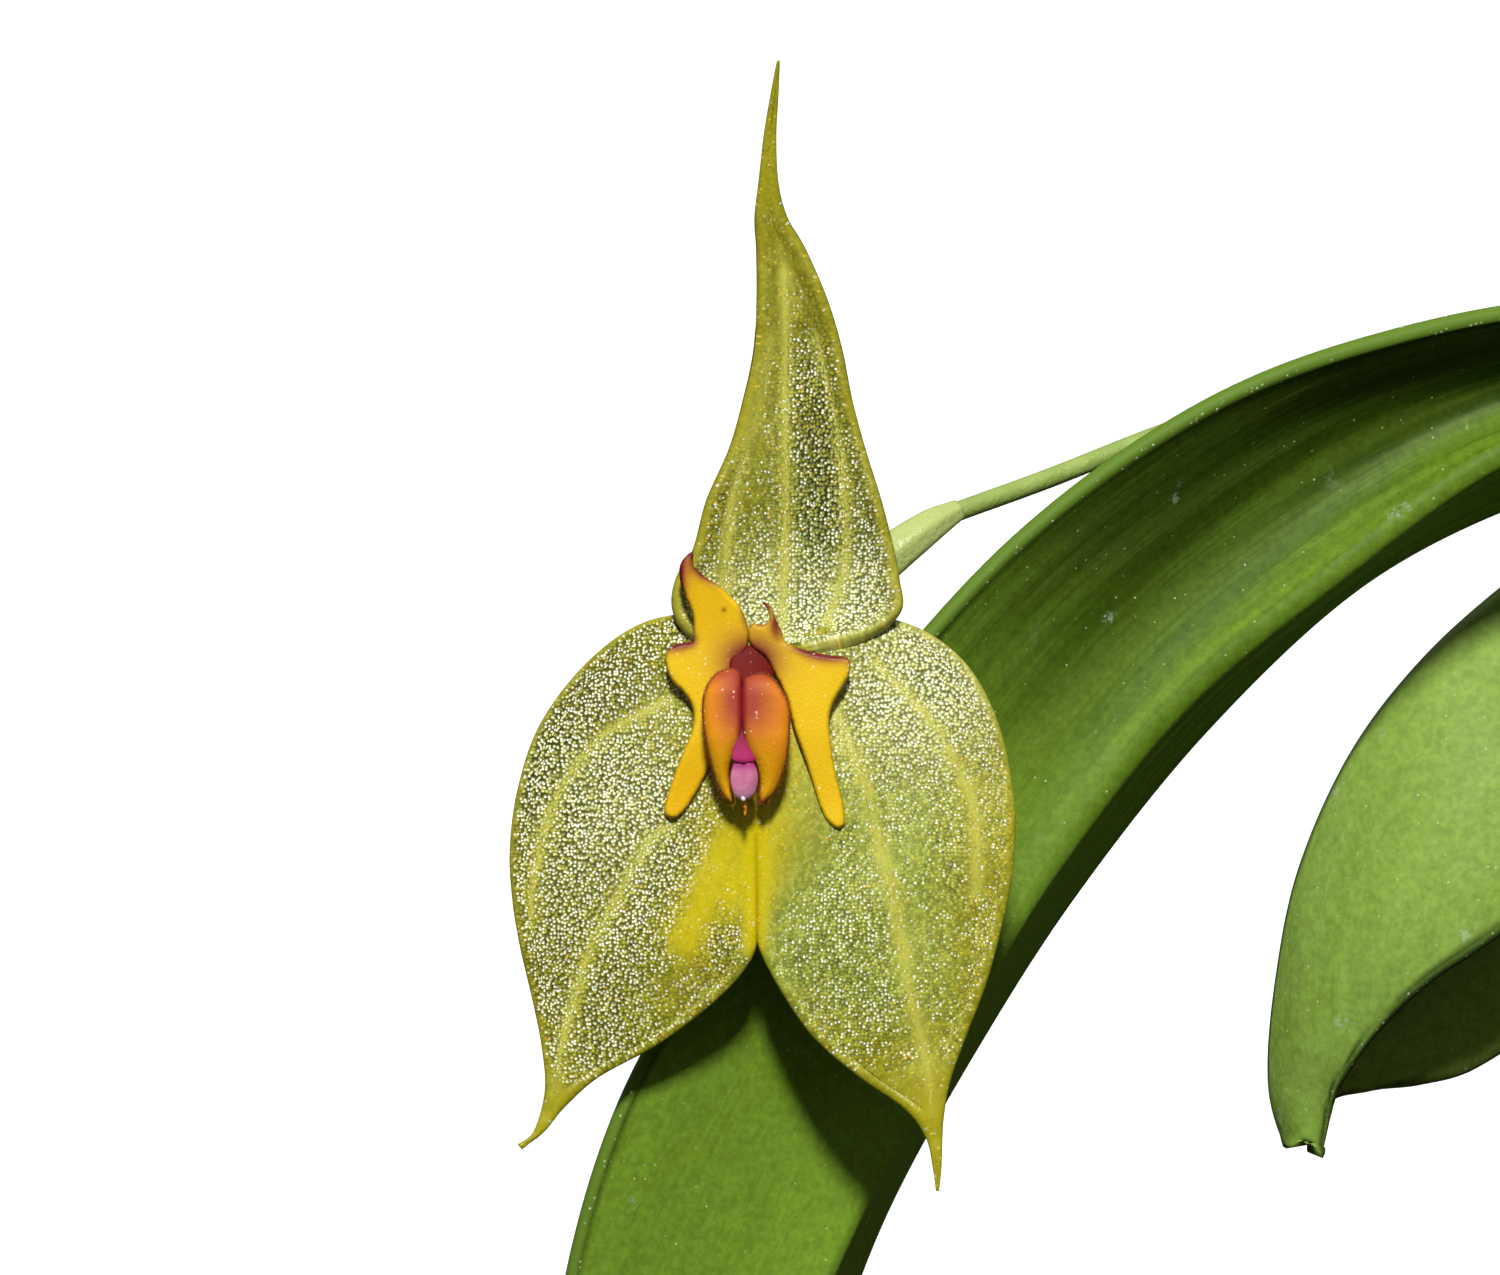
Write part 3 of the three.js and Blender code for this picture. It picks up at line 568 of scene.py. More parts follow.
UPPER_DEPTHS = [-0.1] * 6 + [0, 0.05, 0.1, 0.1, 0.1, 0.05, -0.05, -0.2, -0.35, -0.45]
UPPER_LEFT = rail([
    [-0.6, 1.05], [-1.5, 1.45], [-1.85, 2], [-1.78, 2.65], [-1.4, 3.3], [-1.1, 4.4], [-0.6, 5.5],
    [-0.28, 6.6], [-0.05, 7.7], [0, 8.8], [0, 9.9], [-0.04, 10.6], [0.04, 11.4], [0.15, 12.4],
    [0.3, 13.3], [0.44, 14.04],
], UPPER_DEPTHS)
UPPER_RIGHT = rail([
    [1, 1.05], [2.4, 1.4], [3.15, 1.95], [3.12, 2.65], [3, 3.3], [2.72, 4.4], [2.38, 5.5], [2.08, 6.6],
    [1.86, 7.7], [1.54, 8.8], [1.06, 9.9], [0.66, 10.6], [0.46, 11.4], [0.42, 12.4], [0.47, 13.3],
    [0.5, 14.04],
], UPPER_DEPTHS)
OUTER_DEPTHS = [0.45, 0.4, 0.35, 0.35, 0.3, 0.25, 0.25, 0.25, 0.25, 0.2, 0.15, 0.1, 0.05, 0]
INNER_DEPTHS = [0.45, 0.4, 0.3, 0.2, 0.15, 0.1, 0.1, 0.15, 0.2, 0.2, 0.15, 0.1, 0.05, 0]
LOWER_OUTER_LEFT = rail([
    [-1.14, 1.94], [-2.57, 1.65], [-3.78, 0.77], [-4.77, -0.55], [-5.26, -1.98], [-5.43, -3.3],
    [-5.37, -4.4], [-5.21, -5.39], [-4.93, -6.6], [-4.75, -7.48], [-4.66, -8.36], [-4.73, -8.98],
    [-4.95, -9.57], [-5.26, -9.77],
], OUTER_DEPTHS)
LOWER_INNER_LEFT = rail([
    [0.03, 1.32], [0.03, 0.44], [0.03, -0.66], [0.03, -1.98], [0.03, -3.08], [0.03, -4.18], [0, -5.28],
    [-0.26, -5.9], [-0.92, -6.6], [-2.13, -7.52], [-3.45, -8.25], [-4.2, -8.91], [-4.66, -9.46],
    [-5.17, -9.88],
], INNER_DEPTHS)
LOWER_INNER_RIGHT = rail([
    [-0.03, 1.32], [-0.03, 0.22], [-0.03, -0.88], [-0.03, -1.98], [-0.03, -3.19], [-0.03, -4.29],
    [0, -5.28], [0.46, -6.27], [1.21, -7.37], [2.22, -8.25], [3.26, -8.98], [3.72, -9.64], [3.87, -10.3],
    [3.94, -10.8],
], INNER_DEPTHS)
LOWER_OUTER_RIGHT = rail([
    [2.82, 1.8], [3.81, 1.43], [4.73, 0.62], [5.35, -0.66], [5.65, -2.2], [5.63, -3.63], [5.39, -4.95],
    [5.02, -6.27], [4.6, -7.37], [4.25, -8.36], [4.11, -9.13], [4.07, -9.79], [4.05, -10.34],
    [4.0, -10.8],
], OUTER_DEPTHS)
UPPER_VEINS = (
    [[0.5, 1.2], [0.62, 3.5], [0.6, 6.75], [0.6, 9.5]],
    [[-0.3, 1.3], [-0.72, 2.3], [-0.72, 3.4], [-0.5, 5.2], [-0.1, 6.6], [0.15, 8.0]],
    [[1.5, 1.4], [1.95, 3.0], [1.95, 4.9], [1.75, 6.4], [1.4, 8.0]],
)
LEFT_VEINS = (
    [[-1.9, -2.7], [-2.44, -3.15], [-3.06, -4.3], [-3.68, -5.6], [-4.04, -6.8], [-4.4, -8.0], [-4.7, -9.0]],
    [[-2.0, 0.0], [-2.75, -0.4], [-3.5, -0.9], [-4.4, -2.2], [-4.85, -3.9], [-4.95, -4.9]],
)
RIGHT_VEINS = (
    [[1.6, 0.2], [2.0, -0.9], [2.4, -2.0], [2.94, -4.2], [3.35, -6.4], [3.75, -8.2], [3.95, -9.6]],
    [[2.6, 0.8], [3.9, -0.6], [4.7, -2.4], [4.75, -4.2]],
)
YOLK_LINE = [[0, -0.6], [-0.05, -3.6], [-0.05, -5.3]]
YOLK_SIDE = [[-0.7, -3.1], [-1.2, -4.4], [-1.6, -5.2]]
SEAM_LINE = [[0, -3.0], [0, -5.4]]


def edge_distance(grid):
    """Distance from each place of a grid to its nearest side rail, its first row and its left rail."""
    across = np.linalg.norm(np.diff(grid, axis=1), axis=2)
    from_left = np.concatenate([np.zeros((len(grid), 1)), np.cumsum(across, axis=1)], axis=1)
    along = np.linalg.norm(np.diff(grid, axis=0), axis=2)
    from_foot = np.concatenate([np.zeros((1, grid.shape[1])), np.cumsum(along, axis=0)], axis=0)
    return np.minimum(from_left, from_left[:, -1:] - from_left), from_foot, from_left


def sheet_between(left, right, rows, columns, bow):
    lefts, rights = smooth(left, rows), smooth(right, rows)
    u = crowded(columns)
    grid = lefts[:, None] + (rights - lefts)[:, None] * u[None, :, None]
    width = np.linalg.norm(rights - lefts, axis=1)[:, None]
    grid[..., 1] -= bow * width * 4 * (u * (1 - u))[None]
    return grid


SHEET_ROWS = 150
SHEET_COLUMNS = 64
SHEET_THICKNESS = 0.34
SHEET_EDGE_RADIUS = 0.22
VEIN_WIDE = 0.2
SEPAL_NEARER = 0.12  # the fine sheet's front lies on the front of the thicker solid
CUSHION = 0.3  # the lower sepals swell under the lip and petals


def sepal(heap, left, right, bow, veins, fields, relief):
    grid = sheet_between(left, right, SHEET_ROWS, SHEET_COLUMNS, bow)
    plan = grid[..., [0, 2]]
    flat = plan.reshape(-1, 2)
    side, foot, _ = edge_distance(grid)
    near_vein = np.min([distance_to_line(flat, smooth(v, 24)) for v in veins], axis=0).reshape(side.shape)
    ridge = np.exp(-(near_vein / VEIN_WIDE) ** 2)
    grid[..., 1] += 0.05 * ridge + relief * wobble(grid, 0.55) - SEPAL_NEARER
    grid[..., 1] -= 0.10 * ease(side, 0.45, 0.0)
    edge = np.minimum(side, foot + 0.05)
    thick = SHEET_THICKNESS * rounded_edge(edge, SHEET_EDGE_RADIUS) + 0.05
    tail = ease(np.linalg.norm(np.ptp(grid, axis=1), axis=1), 0.1, 0.8)[:, None]
    marks = {key: value.reshape(side.shape) for key, value in fields(flat).items()}
    cushion = marks.pop("cushion", np.zeros(side.shape))
    marks = {key: np.clip(value, 0, 1) for key, value in marks.items()}
    points, faces = shell(grid, thick * (0.45 + 0.55 * tail), CUSHION * cushion)
    marks["vein"] = 0.85 * ridge * (0.3 + 0.7 * ease(side, 0.0, 0.5))
    # The rim tone on the margins, the tails and the rolled strip at the foot is partly the sepals' own
    # yellower margin and partly painted light: the glow of thin translucent edges, and a lighter foot strip
    # that faces downward
    foot_rim = 0.9 * ease(foot, 0.34, 0.12) * (1 - cushion)
    marks["rim"] = most(0.6 * ease(side, 0.16, 0.02), foot_rim, marks.pop("tail"))
    bare = (1 - 0.85 * marks["vein"]) * (1 - 0.9 * marks["yolk"]) * ease(side, 0.0, 0.2)
    marks["sparkle"] = marks["sparkle"] * bare
    heap.add(from_bloom(points), faces, {k: both_sides(v) for k, v in marks.items()}, np.tile(flat, (2, 1)))


def blob(flat, x, z, wide, high):
    """A soft spot, 1 at its centre."""
    return np.exp(-np.sum(((flat - (x, z)) / (wide, high)) ** 2, axis=1))


def most(*values):
    return np.max(values, axis=0)


def upper_fields(flat):
    """Where the upper sepal glitters with domed cells and painted glints, is pale, and has painted shade
    between its cells.
    """
    x, z = flat.T
    bare = 0.55 * blob(flat, -0.1, 6.6, 0.5, 2.4) + 0.8 * ease(z, 7.0, 10.0)
    base = blob(flat, 0.9, 1.7, 2.0, 1.3)
    return {
        "sparkle": 0.5 - bare + 0.55 * base + 0.3 * blob(flat, 2.3, 3.2, 0.6, 1.6),
        "pale": base + 0.3 * blob(flat, 2.2, 3.0, 0.7, 1.4),
        "deep": 0.9 * blob(flat, 1.35, 5.2, 0.55, 2.8) + 0.15 - 0.85 * base,
        "dim": 0.26 * ease(z, 2.6, 4.0),
        "green": 0.6 * blob(flat, 1.2, 4.0, 1.2, 2.0),
        "yolk": np.zeros(len(flat)),
        "seam": np.zeros(len(flat)),
        "tail": 0.8 * ease(z, 9.0, 12.0),
    }


def lower_fields(flat):
    """The same for the two joined lower sepals, with the yolk-yellow patch under the lip."""
    x, z = flat.T
    line = np.exp(-(distance_to_line(flat, YOLK_LINE) / (0.28 + 0.65 * ease(z, -5.2, -2.8))) ** 2)
    branch = np.maximum(0.75 * np.exp(-(distance_to_line(flat, YOLK_SIDE) / 0.46) ** 2),
                        0.8 * blob(flat, -0.6, -4.0, 0.6, 0.9))
    left = ease(x, 0.4, -0.8)
    right = 1 - left
    yolk = np.maximum(line * (left + 0.9 * right), branch)
    tails = ease(z, -7.6, -9.2)
    low = ease(z, -5.0, -6.4) * ease(x, -3.4, -1.8)
    # Painted shadow of the petals: under them the glitter and its painted glints are turned down
    petal_shadow = blob(flat, -2.0, -0.2, 0.7, 1.0) + blob(flat, 0.9, -3.0, 0.5, 1.4)
    glitter_left = 0.98 - 0.6 * low
    glitter_right = 0.26 + 0.75 * blob(flat, 3.4, 0.4, 2.0, 1.8)
    glitter_right += 0.35 * blob(flat, 1.7, -4.8, 0.9, 1.6) + 0.3 * blob(flat, 2.5, -7.0, 0.9, 1.4)
    return {
        "sparkle": glitter_left * left + glitter_right * right - 1.2 * tails - 0.55 * petal_shadow - 1.4 * yolk,
        "pale": 0.85 * blob(flat, 3.5, 0.2, 1.8, 1.7) + 0.5 * blob(flat, -3.2, -2.2, 1.6, 1.8),
        "deep": 0.35 * left * blob(flat, -4.6, -1.2, 1.2, 1.8) + 0.25 * blob(flat, 4.3, -4.5, 0.8, 2.0),
        "dim": 0.3 * tails + 0.25 * blob(flat, -3.0, 0.4, 1.6, 1.1) + 0.2 * blob(flat, 0.6, -3.4, 0.8, 1.4),
        "green": right * ease(z, -0.8, -2.4) * ease(z, -8.0, -6.0) * ease(x, 4.9, 3.6),
        "yolk": yolk,
        "seam": 0.8 * np.exp(-(distance_to_line(flat, SEAM_LINE) / 0.05) ** 2),
        "tail": 0.9 * tails,
        "cushion": blob(flat, 0.1, -0.9, 2.1, 1.7) + 0.9 * blob(flat, -0.1, -2.5, 1.0, 1.2),
    }


def sepals():
    material = sepal_finish()
    upper = Heap()
    sepal(upper, UPPER_LEFT, UPPER_RIGHT, -0.09, UPPER_VEINS, upper_fields, 0.05)
    upper.piece("upper_sepal_skin", material, "sepal", ["upper_sepal"])
    lower = Heap()
    sepal(lower, LOWER_OUTER_LEFT, LOWER_INNER_LEFT, 0.08, LEFT_VEINS, lower_fields, 0.06)
    sepal(lower, LOWER_INNER_RIGHT, LOWER_OUTER_RIGHT, 0.08, RIGHT_VEINS, lower_fields, 0.06)
    lower.piece("lower_sepals_skin", material, "sepal", ["lower_sepals"])


# The petals: swollen outlines, each a horn, a side lobe and a long lower lobe

LEFT_PETAL = [
    [-1.416, 3.254], [-1.625, 3.09], [-1.708, 2.86], [-1.67, 2.536], [-1.53, 2.165], [-1.416, 1.887],
    [-1.393, 1.563], [-1.42, 1.3], [-1.624, 1.262], [-1.902, 1.17], [-2.004, 0.961], [-1.986, 0.683],
    [-1.856, 0.405], [-1.624, 0.174], [-1.439, -0.104], [-1.393, -0.428], [-1.439, -0.706],
    [-1.532, -0.938], [-1.671, -1.262], [-1.81, -1.633], [-1.926, -1.957], [-2.018, -2.281],
    [-2.032, -2.49], [-1.926, -2.596], [-1.763, -2.582], [-1.578, -2.42], [-1.416, -2.188],
    [-1.254, -1.911], [-1.115, -1.633], [-1.046, -1.401], [-1.022, -1.17], [-1.02, -0.43], [-0.7, 0.4],
    [-0.42, 0.776], [-0.235, 1.05], [-0.18, 1.517], [-0.328, 1.98], [-0.559, 2.258], [-0.837, 2.513],
    [-1.161, 2.721], [-1.3, 2.86], [-1.393, 2.976],
]
RIGHT_PETAL = [
    [0.103, 2.17], [0.235, 1.98], [0.277, 1.826], [0.209, 1.694], [0.077, 1.654], [-0.088, 1.694],
    [-0.178, 1.56], [-0.205, 1.4], [-0.163, 1.24], [-0.029, 1.08], [0.183, 0.924], [0.4, 0.55],
    [0.645, 0.035], [0.814, -0.616], [0.977, -1.091], [1.137, -1.562], [1.296, -2.099], [1.452, -2.523],
    [1.615, -2.735], [1.773, -2.825], [1.905, -2.761], [1.932, -2.574], [1.879, -2.2], [1.747, -1.672],
    [1.668, -1.252], [1.615, -0.827], [1.584, -0.455], [1.668, -0.086], [1.879, 0.286], [2.024, 0.55],
    [2.055, 0.792], [1.995, 0.924], [1.826, 0.968], [1.507, 1.001], [1.137, 1.082], [0.814, 1.188],
    [0.607, 1.298], [0.55, 1.505], [0.418, 1.771], [0.286, 2.068],
]
PETAL_DEPTH = -0.76
PETAL_THICKNESS = 0.24
PETAL_EDGE_RADIUS = 0.09
PETAL_SPACING = 0.05


def swollen(outline, spacing, thickness, edge_radius, depth):
    """A pillow over an outline in x and z. depth gives the mid-surface's y at each place."""
    low, high = outline.min(0), outline.max(0)
    xs = np.arange(low[0], high[0], spacing)
    zs = np.arange(low[1], high[1], spacing)
    inside = np.stack(np.meshgrid(xs, zs), -1).reshape(-1, 2)
    inside = inside + spacing * 0.2 * np.sin(inside[:, ::-1] * 37.0)
    turns = np.zeros(len(inside), bool)
    for a, b in zip(outline, np.roll(outline, -1, axis=0)):
        crosses = (a[1] > inside[:, 1]) != (b[1] > inside[:, 1])
        reach = (b[0] - a[0]) * (inside[:, 1] - a[1]) / (b[1] - a[1] if b[1] != a[1] else 1e-9) + a[0]
        turns ^= crosses & (inside[:, 0] < reach)
    inside = inside[turns]
    inside = inside[distance_to_line(inside, outline, closed=True) > spacing * 0.55]
    flat = np.concatenate([outline, inside])
    ring = list(range(len(outline)))
    corners = [Vector(p) for p in flat.tolist()]
    made = delaunay_2d_cdt(corners, [], [ring], 1, 1e-7)
    flat = np.array([tuple(p) for p in made[0]])
    faces = np.array([f for f in made[2] if len(f) == 3])
    away = distance_to_line(flat, outline, closed=True)
    border = away < 1e-5
    half = thickness / 2 * np.sqrt(np.clip(1 - (1 - np.clip(away / edge_radius, 0, 1)) ** 2, 0, 1))
    mid = depth(flat)
    a, b, c = (flat[faces[:, k]] for k in range(3))
    area = (b[:, 0] - a[:, 0]) * (c[:, 1] - a[:, 1]) - (b[:, 1] - a[:, 1]) * (c[:, 0] - a[:, 0])
    faces[area < 0] = faces[area < 0][:, ::-1]
    front = np.stack([flat[:, 0], mid - half, flat[:, 1]], -1)
    back = np.stack([flat[:, 0], mid + half, flat[:, 1]], -1)
    under = np.where(border, np.arange(len(flat)), np.arange(len(flat)) + len(flat))
    points = np.concatenate([front, back])
    all_faces = np.concatenate([faces, under[faces][:, ::-1]])
    used = np.unique(all_faces)
    renumber = np.full(len(points), -1)
    renumber[used] = np.arange(len(used))
    return points[used], renumber[all_faces].tolist(), np.concatenate([flat, flat])[used]


def petal_depth(flat):
    """The horns and side lobes stand a little forward of the long lower lobes."""
    horn = 0.2 * ease(flat[:, 1], 1.2, 3.2)
    arm = 0.06 * ease(np.abs(flat[:, 0]), 1.2, 2.1) * ease(flat[:, 1], -0.4, 0.8)
    leg = 0.14 * ease(flat[:, 1], -0.6, -2.4)
    return PETAL_DEPTH - horn - arm + leg


def petal_marks(flat, outline):
    edge = distance_to_line(flat, outline, closed=True)
    rim = np.exp(-(edge / 0.13) ** 2)
    left_horn = most(1.3 * blob(flat, -1.42, 3.25, 0.2, 0.24),
                     1.5 * rim * blob(flat, -1.7, 2.8, 0.2, 0.6),
                     1.2 * rim * blob(flat, -1.1, 2.85, 0.6, 0.4))
    left_top = rim * blob(flat, -1.7, 1.26, 0.46, 0.2) * 1.8
    seam = 0.7 * rim * blob(flat, -0.28, 1.8, 0.14, 0.35)
    right_horn = blob(flat, 0.42, 1.72, 0.16, 0.42) * ease(flat[:, 0] + 0.35 * flat[:, 1], 0.68, 0.92)
    right_tip = blob(flat, 0.2, 2.08, 0.2, 0.2)
    right_inner = 0.7 * rim * blob(flat, 0.08, 1.66, 0.25, 0.1)
    right_top = rim * blob(flat, 1.4, 1.02, 0.85, 0.24) * 1.7
    throat = 1.4 * blob(flat, -0.14, 0.86, 0.54, 0.48)
    dot = blob(flat, -0.726, 1.98, 0.05, 0.05)
    dark = most(left_horn, left_top, seam, right_horn, right_tip, right_inner, right_top, throat, dot)
    blush = most(0.9 * blob(flat, -1.6, 2.95, 0.26, 0.4), 0.8 * blob(flat, -1.74, 1.18, 0.34, 0.16),
                 0.8 * blob(flat, 1.6, 0.93, 0.6, 0.16), 0.7 * blob(flat, 0.4, 1.5, 0.2, 0.3),
                 0.8 * blob(flat, -0.14, 0.9, 0.78, 0.62))
    frost = most(blob(flat, -1.5, 0.75, 0.35, 0.25), blob(flat, 1.2, 0.5, 0.5, 0.35),
                 blob(flat, 1.3, -1.6, 0.3, 0.8), ease(edge, 0.1, 0.03))
    dusky = 0.5 * ease(flat[:, 0], -0.3, -1.0) * ease(flat[:, 1], 0.9, 1.6)
    return {"dark": np.clip(dark, 0, 1), "blush": blush * 0.8, "frost": frost * 0.8,
            "warm": np.clip(dusky + 0.8 * ease(flat[:, 0], -0.6, -1.2) * ease(flat[:, 1], -0.6, -1.8), 0, 1)}


def petals():
    material = waxy_finish("petal_wax", (0.60, 0.395, 0.008), (0.58, 0.32, 0.002), (0.13, 0.010, 0.010))
    for name, outline in (("petal_left", LEFT_PETAL), ("petal_right", RIGHT_PETAL)):
        line = closed_smooth(outline, 4)
        points, faces, flat = swollen(line, PETAL_SPACING, PETAL_THICKNESS, PETAL_EDGE_RADIUS, petal_depth)
        piece(name + "_skin", from_bloom(points), faces, material, [name], petal_marks(flat, line))


# The lip's two pillow lobes, and the column between and behind them

LEFT_LOBE = [
    [-0.6, 0.704], [-0.88, 0.605], [-1.063, 0.396], [-1.188, 0.075], [-1.21, -0.297], [-1.168, -0.722],
    [-1.089, -1.144], [-0.983, -1.562], [-0.851, -1.936], [-0.693, -2.2], [-0.532, -2.288],
    [-0.495, -2.178], [-0.559, -1.888], [-0.585, -1.562], [-0.506, -1.252], [-0.37, -0.88],
    [-0.3, -0.506], [-0.3, -0.086], [-0.31, 0.233], [-0.33, 0.506], [-0.43, 0.66],
]
RIGHT_LOBE = [
    [0.022, 0.594], [-0.25, 0.5], [-0.34, 0.32], [-0.37, 0.022], [-0.37, -0.396], [-0.32, -0.77],
    [-0.189, -1.144], [-0.029, -1.463], [0.035, -1.782], [0.022, -2.099], [0.077, -2.286],
    [0.183, -2.259], [0.396, -2.046], [0.55, -1.729], [0.671, -1.252], [0.724, -0.722], [0.724, -0.191],
    [0.607, 0.132], [0.396, 0.444], [0.209, 0.561],
]
LOBE_DEPTH = -1.6
LOBE_THICKNESS = 0.52
LOBE_EDGE_RADIUS = 0.26
LOBE_SPACING = 0.045
SEAM_X = -0.335
COLUMN_LINE = [
    [-0.1, -0.7, 1.2], [-0.12, -0.8, 0.75], [-0.2, -1.3, 0], [-0.28, -1.65, -0.8], [-0.29, -1.7, -1.4],
]
COLUMN_WIDE = [0.3, 0.5, 0.4, 0.24, 0.3]
CAP_LINE = [
    [-0.28, -1.6, -1.34], [-0.28, -1.64, -1.45], [-0.28, -1.62, -1.72], [-0.28, -1.56, -2.02],
    [-0.28, -1.5, -2.18],
]
CAP_WIDE = [0.18, 0.26, 0.31, 0.25, 0.12]
CAP_FRONT = -1.7


def rounded_tube(line, wide, deep_share, sides, count):
    """A swept oval whose ends are drawn in to a round point."""
    path, sizes = smooth(line, count), smooth(wide, count)
    t = np.linspace(0, 1, count + 1)
    close = np.sqrt(np.clip(1 - (1 - np.clip(np.minimum(t, 1 - t) / 0.07, 0, 1)) ** 2, 0.004, 1))
    return swept(path, sizes * close, sizes * close * deep_share, sides)


def lobe_depth(flat):
    return LOBE_DEPTH + 0.42 * ease(flat[:, 1], -0.7, -2.3) + 0.12 * ease(flat[:, 1], 0.1, 0.75)


def lip():
    material = waxy_finish("lip_wax", (0.56, 0.175, 0.002), (0.62, 0.30, 0.002), (0.21, 0.012, 0.018), 0.6)
    heap = Heap()
    for outline, sign in ((LEFT_LOBE, -1), (RIGHT_LOBE, 1)):
        line = closed_smooth(outline, 5)
        points, faces, flat = swollen(line, LOBE_SPACING, LOBE_THICKNESS, LOBE_EDGE_RADIUS, lobe_depth)
        inner = (flat[:, 0] - SEAM_X) * sign
        edge = distance_to_line(flat, line, closed=True)
        seam = ease(inner, 0.15, 0.03) * ease(flat[:, 1], -1.5, -0.6)
        rim = 0.85 * ease(edge, 0.07, 0.02)
        ends = 0.8 * ease(flat[:, 1], -2.0, -2.28) + 0.6 * ease(flat[:, 1], 0.25, 0.6)
        blush = blob(flat, SEAM_X + sign * 0.12, 0.0, 0.4 if sign < 0 else 0.62, 0.85)
        frost = np.maximum(ease(edge, 0.12, 0.03), 0.7 * blob(flat, SEAM_X + sign * 0.16, -0.1, 0.3, 0.7))
        marks = {"dark": most(seam, rim, ends), "blush": 1.1 * blush, "frost": frost,
                 "warm": ease(flat[:, 1], -0.4, -1.5) * ease(inner, 1.0, 0.5)}
        heap.add(from_bloom(points), faces, {k: np.clip(v, 0, 1) for k, v in marks.items()})
        heap.add(*fringe(line, sign), {"dark": 0.8})
    heap.piece("lip_skin", material, "lip", ["lip"])


def fringe(line, sign):
    """Short hairs along the outer margin of a lip lobe."""
    picks = line[(line[:, 0] - SEAM_X) * sign > 0.3]
    picks = np.repeat(picks, 4, axis=0) + rng.normal(0, 0.015, (4 * len(picks), 2))
    out = picks - np.array([SEAM_X + sign * 0.45, -0.7])
    out = unit(out * np.array([1.0, 0.35]))
    depth = lobe_depth(picks) + rng.uniform(-0.12, 0.06, len(picks))
    bases = np.stack([picks[:, 0] - 0.03 * out[:, 0], depth, picks[:, 1] - 0.03 * out[:, 1]], -1)
    count = len(picks)
    ways = np.stack([out[:, 0], rng.normal(-0.2, 0.4, count), out[:, 1] + rng.normal(0, 0.3, count)], -1)
    points, faces = thorns(bases, ways, rng.uniform(0.05, 0.09, len(picks)), 0.009)
    return from_bloom(points), faces


def column():
    body = waxy_finish("column_wax", (0.105, 0.0045, 0.002), (0.12, 0.006, 0.002), (0.34, 0.02, 0.10), 0.7)
    points, faces = rounded_tube(COLUMN_LINE, COLUMN_WIDE, 0.3, 40, 50)
    magenta = ease(points[:, 2], -0.5, -1.3)
    piece("column_skin", from_bloom(points), faces, body, ["column"], {"dark": magenta})
    cap = waxy_finish("column_cap_wax", (0.42, 0.13, 0.22), (0.46, 0.19, 0.28), (0.30, 0.03, 0.14), 0.4)
    points, faces = rounded_tube(CAP_LINE, CAP_WIDE, 0.4, 36, 40)
    points[:, 1] = np.maximum(points[:, 1], CAP_FRONT + 0.3 * (points[:, 1] - CAP_FRONT))
    groove = np.exp(-((points[:, 0] - SEAM_X - 0.05) / 0.025) ** 2) * ease(points[:, 2], -2.0, -1.6)
    points[:, 1] += 0.05 * groove * (points[:, 1] < CAP_FRONT + 0.1)
    height = points[:, 2]
    marks = {"dark": most(0.8 * groove, ease(height, -1.62, -1.4)), "warm": ease(height, -1.8, -2.1)}
    piece("column_cap", from_bloom(points), faces, cap, (), marks)
    drop = Shade("clear_drop", 0.12, 0.8, {"Base Color": (0.62, 0.56, 0.60)}).material
    points, faces = rounded_tube([[-0.33, -1.66, -2.12], [-0.3, -1.69, -2.16], [-0.27, -1.66, -2.19]],
                                 [0.03, 0.05, 0.03], 0.9, 20, 16)
    piece("column_drop", from_bloom(points), faces, drop)
    spur = waxy_finish("lip_point_wax", (0.62, 0.20, 0.006), (0.6, 0.26, 0.01), (0.3, 0.05, 0.01))
    points, faces = rounded_tube([[-0.28, -1.25, -2.05], [-0.27, -1.32, -2.3], [-0.26, -1.36, -2.54]],
                                 [0.05, 0.05, 0.02], 1.0, 12, 12)
    piece("lip_point", from_bloom(points), faces, spur)


# The ovary, its stalk, and the flower stalk inside the leaf's fold

OVARY_LINE = [
    [4.45, 3.4, 4.2], [3.7, 2.9, 3.75], [2.6, 2.4, 2.9], [1.6, 1.9, 1.9], [0.9, 1.6, 1.1],
]
OVARY_WIDE = [0.24, 0.40, 0.51, 0.55, 0.5]
PEDICEL_LINE = [
    [10.9, 7.2, 6.55], [8.9, 6.1, 5.87], [6.5, 4.7, 4.92], [4.75, 3.6, 4.28], [4.35, 3.35, 4.13],
]
STALK_LINE = [
    [29.2, 10.2, -1.2], [29.6, 11, 2.4], [27, 11.6, 6.4], [22.5, 10.6, 8], [18, 9.2, 7.9],
    [14.6, 8.2, 7.2], [11.6, 7.6, 6.2], [10.9, 7.3, 6.5],
]
STALK_WIDE = 0.3
PEDICEL_WIDE = 0.22
BUDS = (([12.3, 8, 6.1], [12.35, 8.05, 5.2], 0.42), ([11.6, 7.75, 5.9], [11.5, 7.8, 5.15], 0.34))


def ribbed(points, path, ribs, depth):
    """Pushes a swept body's ring points in and out by a few lengthwise ribs."""
    sides = (len(points) - 2) // len(path)
    turn = around(sides)
    rings = points[:-2].reshape(len(path), sides, 3)
    rings = path[:, None] + (rings - path[:, None]) * (1 + depth * np.cos(ribs * turn))[None, :, None]
    return np.concatenate([rings.reshape(-1, 3), points[-2:]])


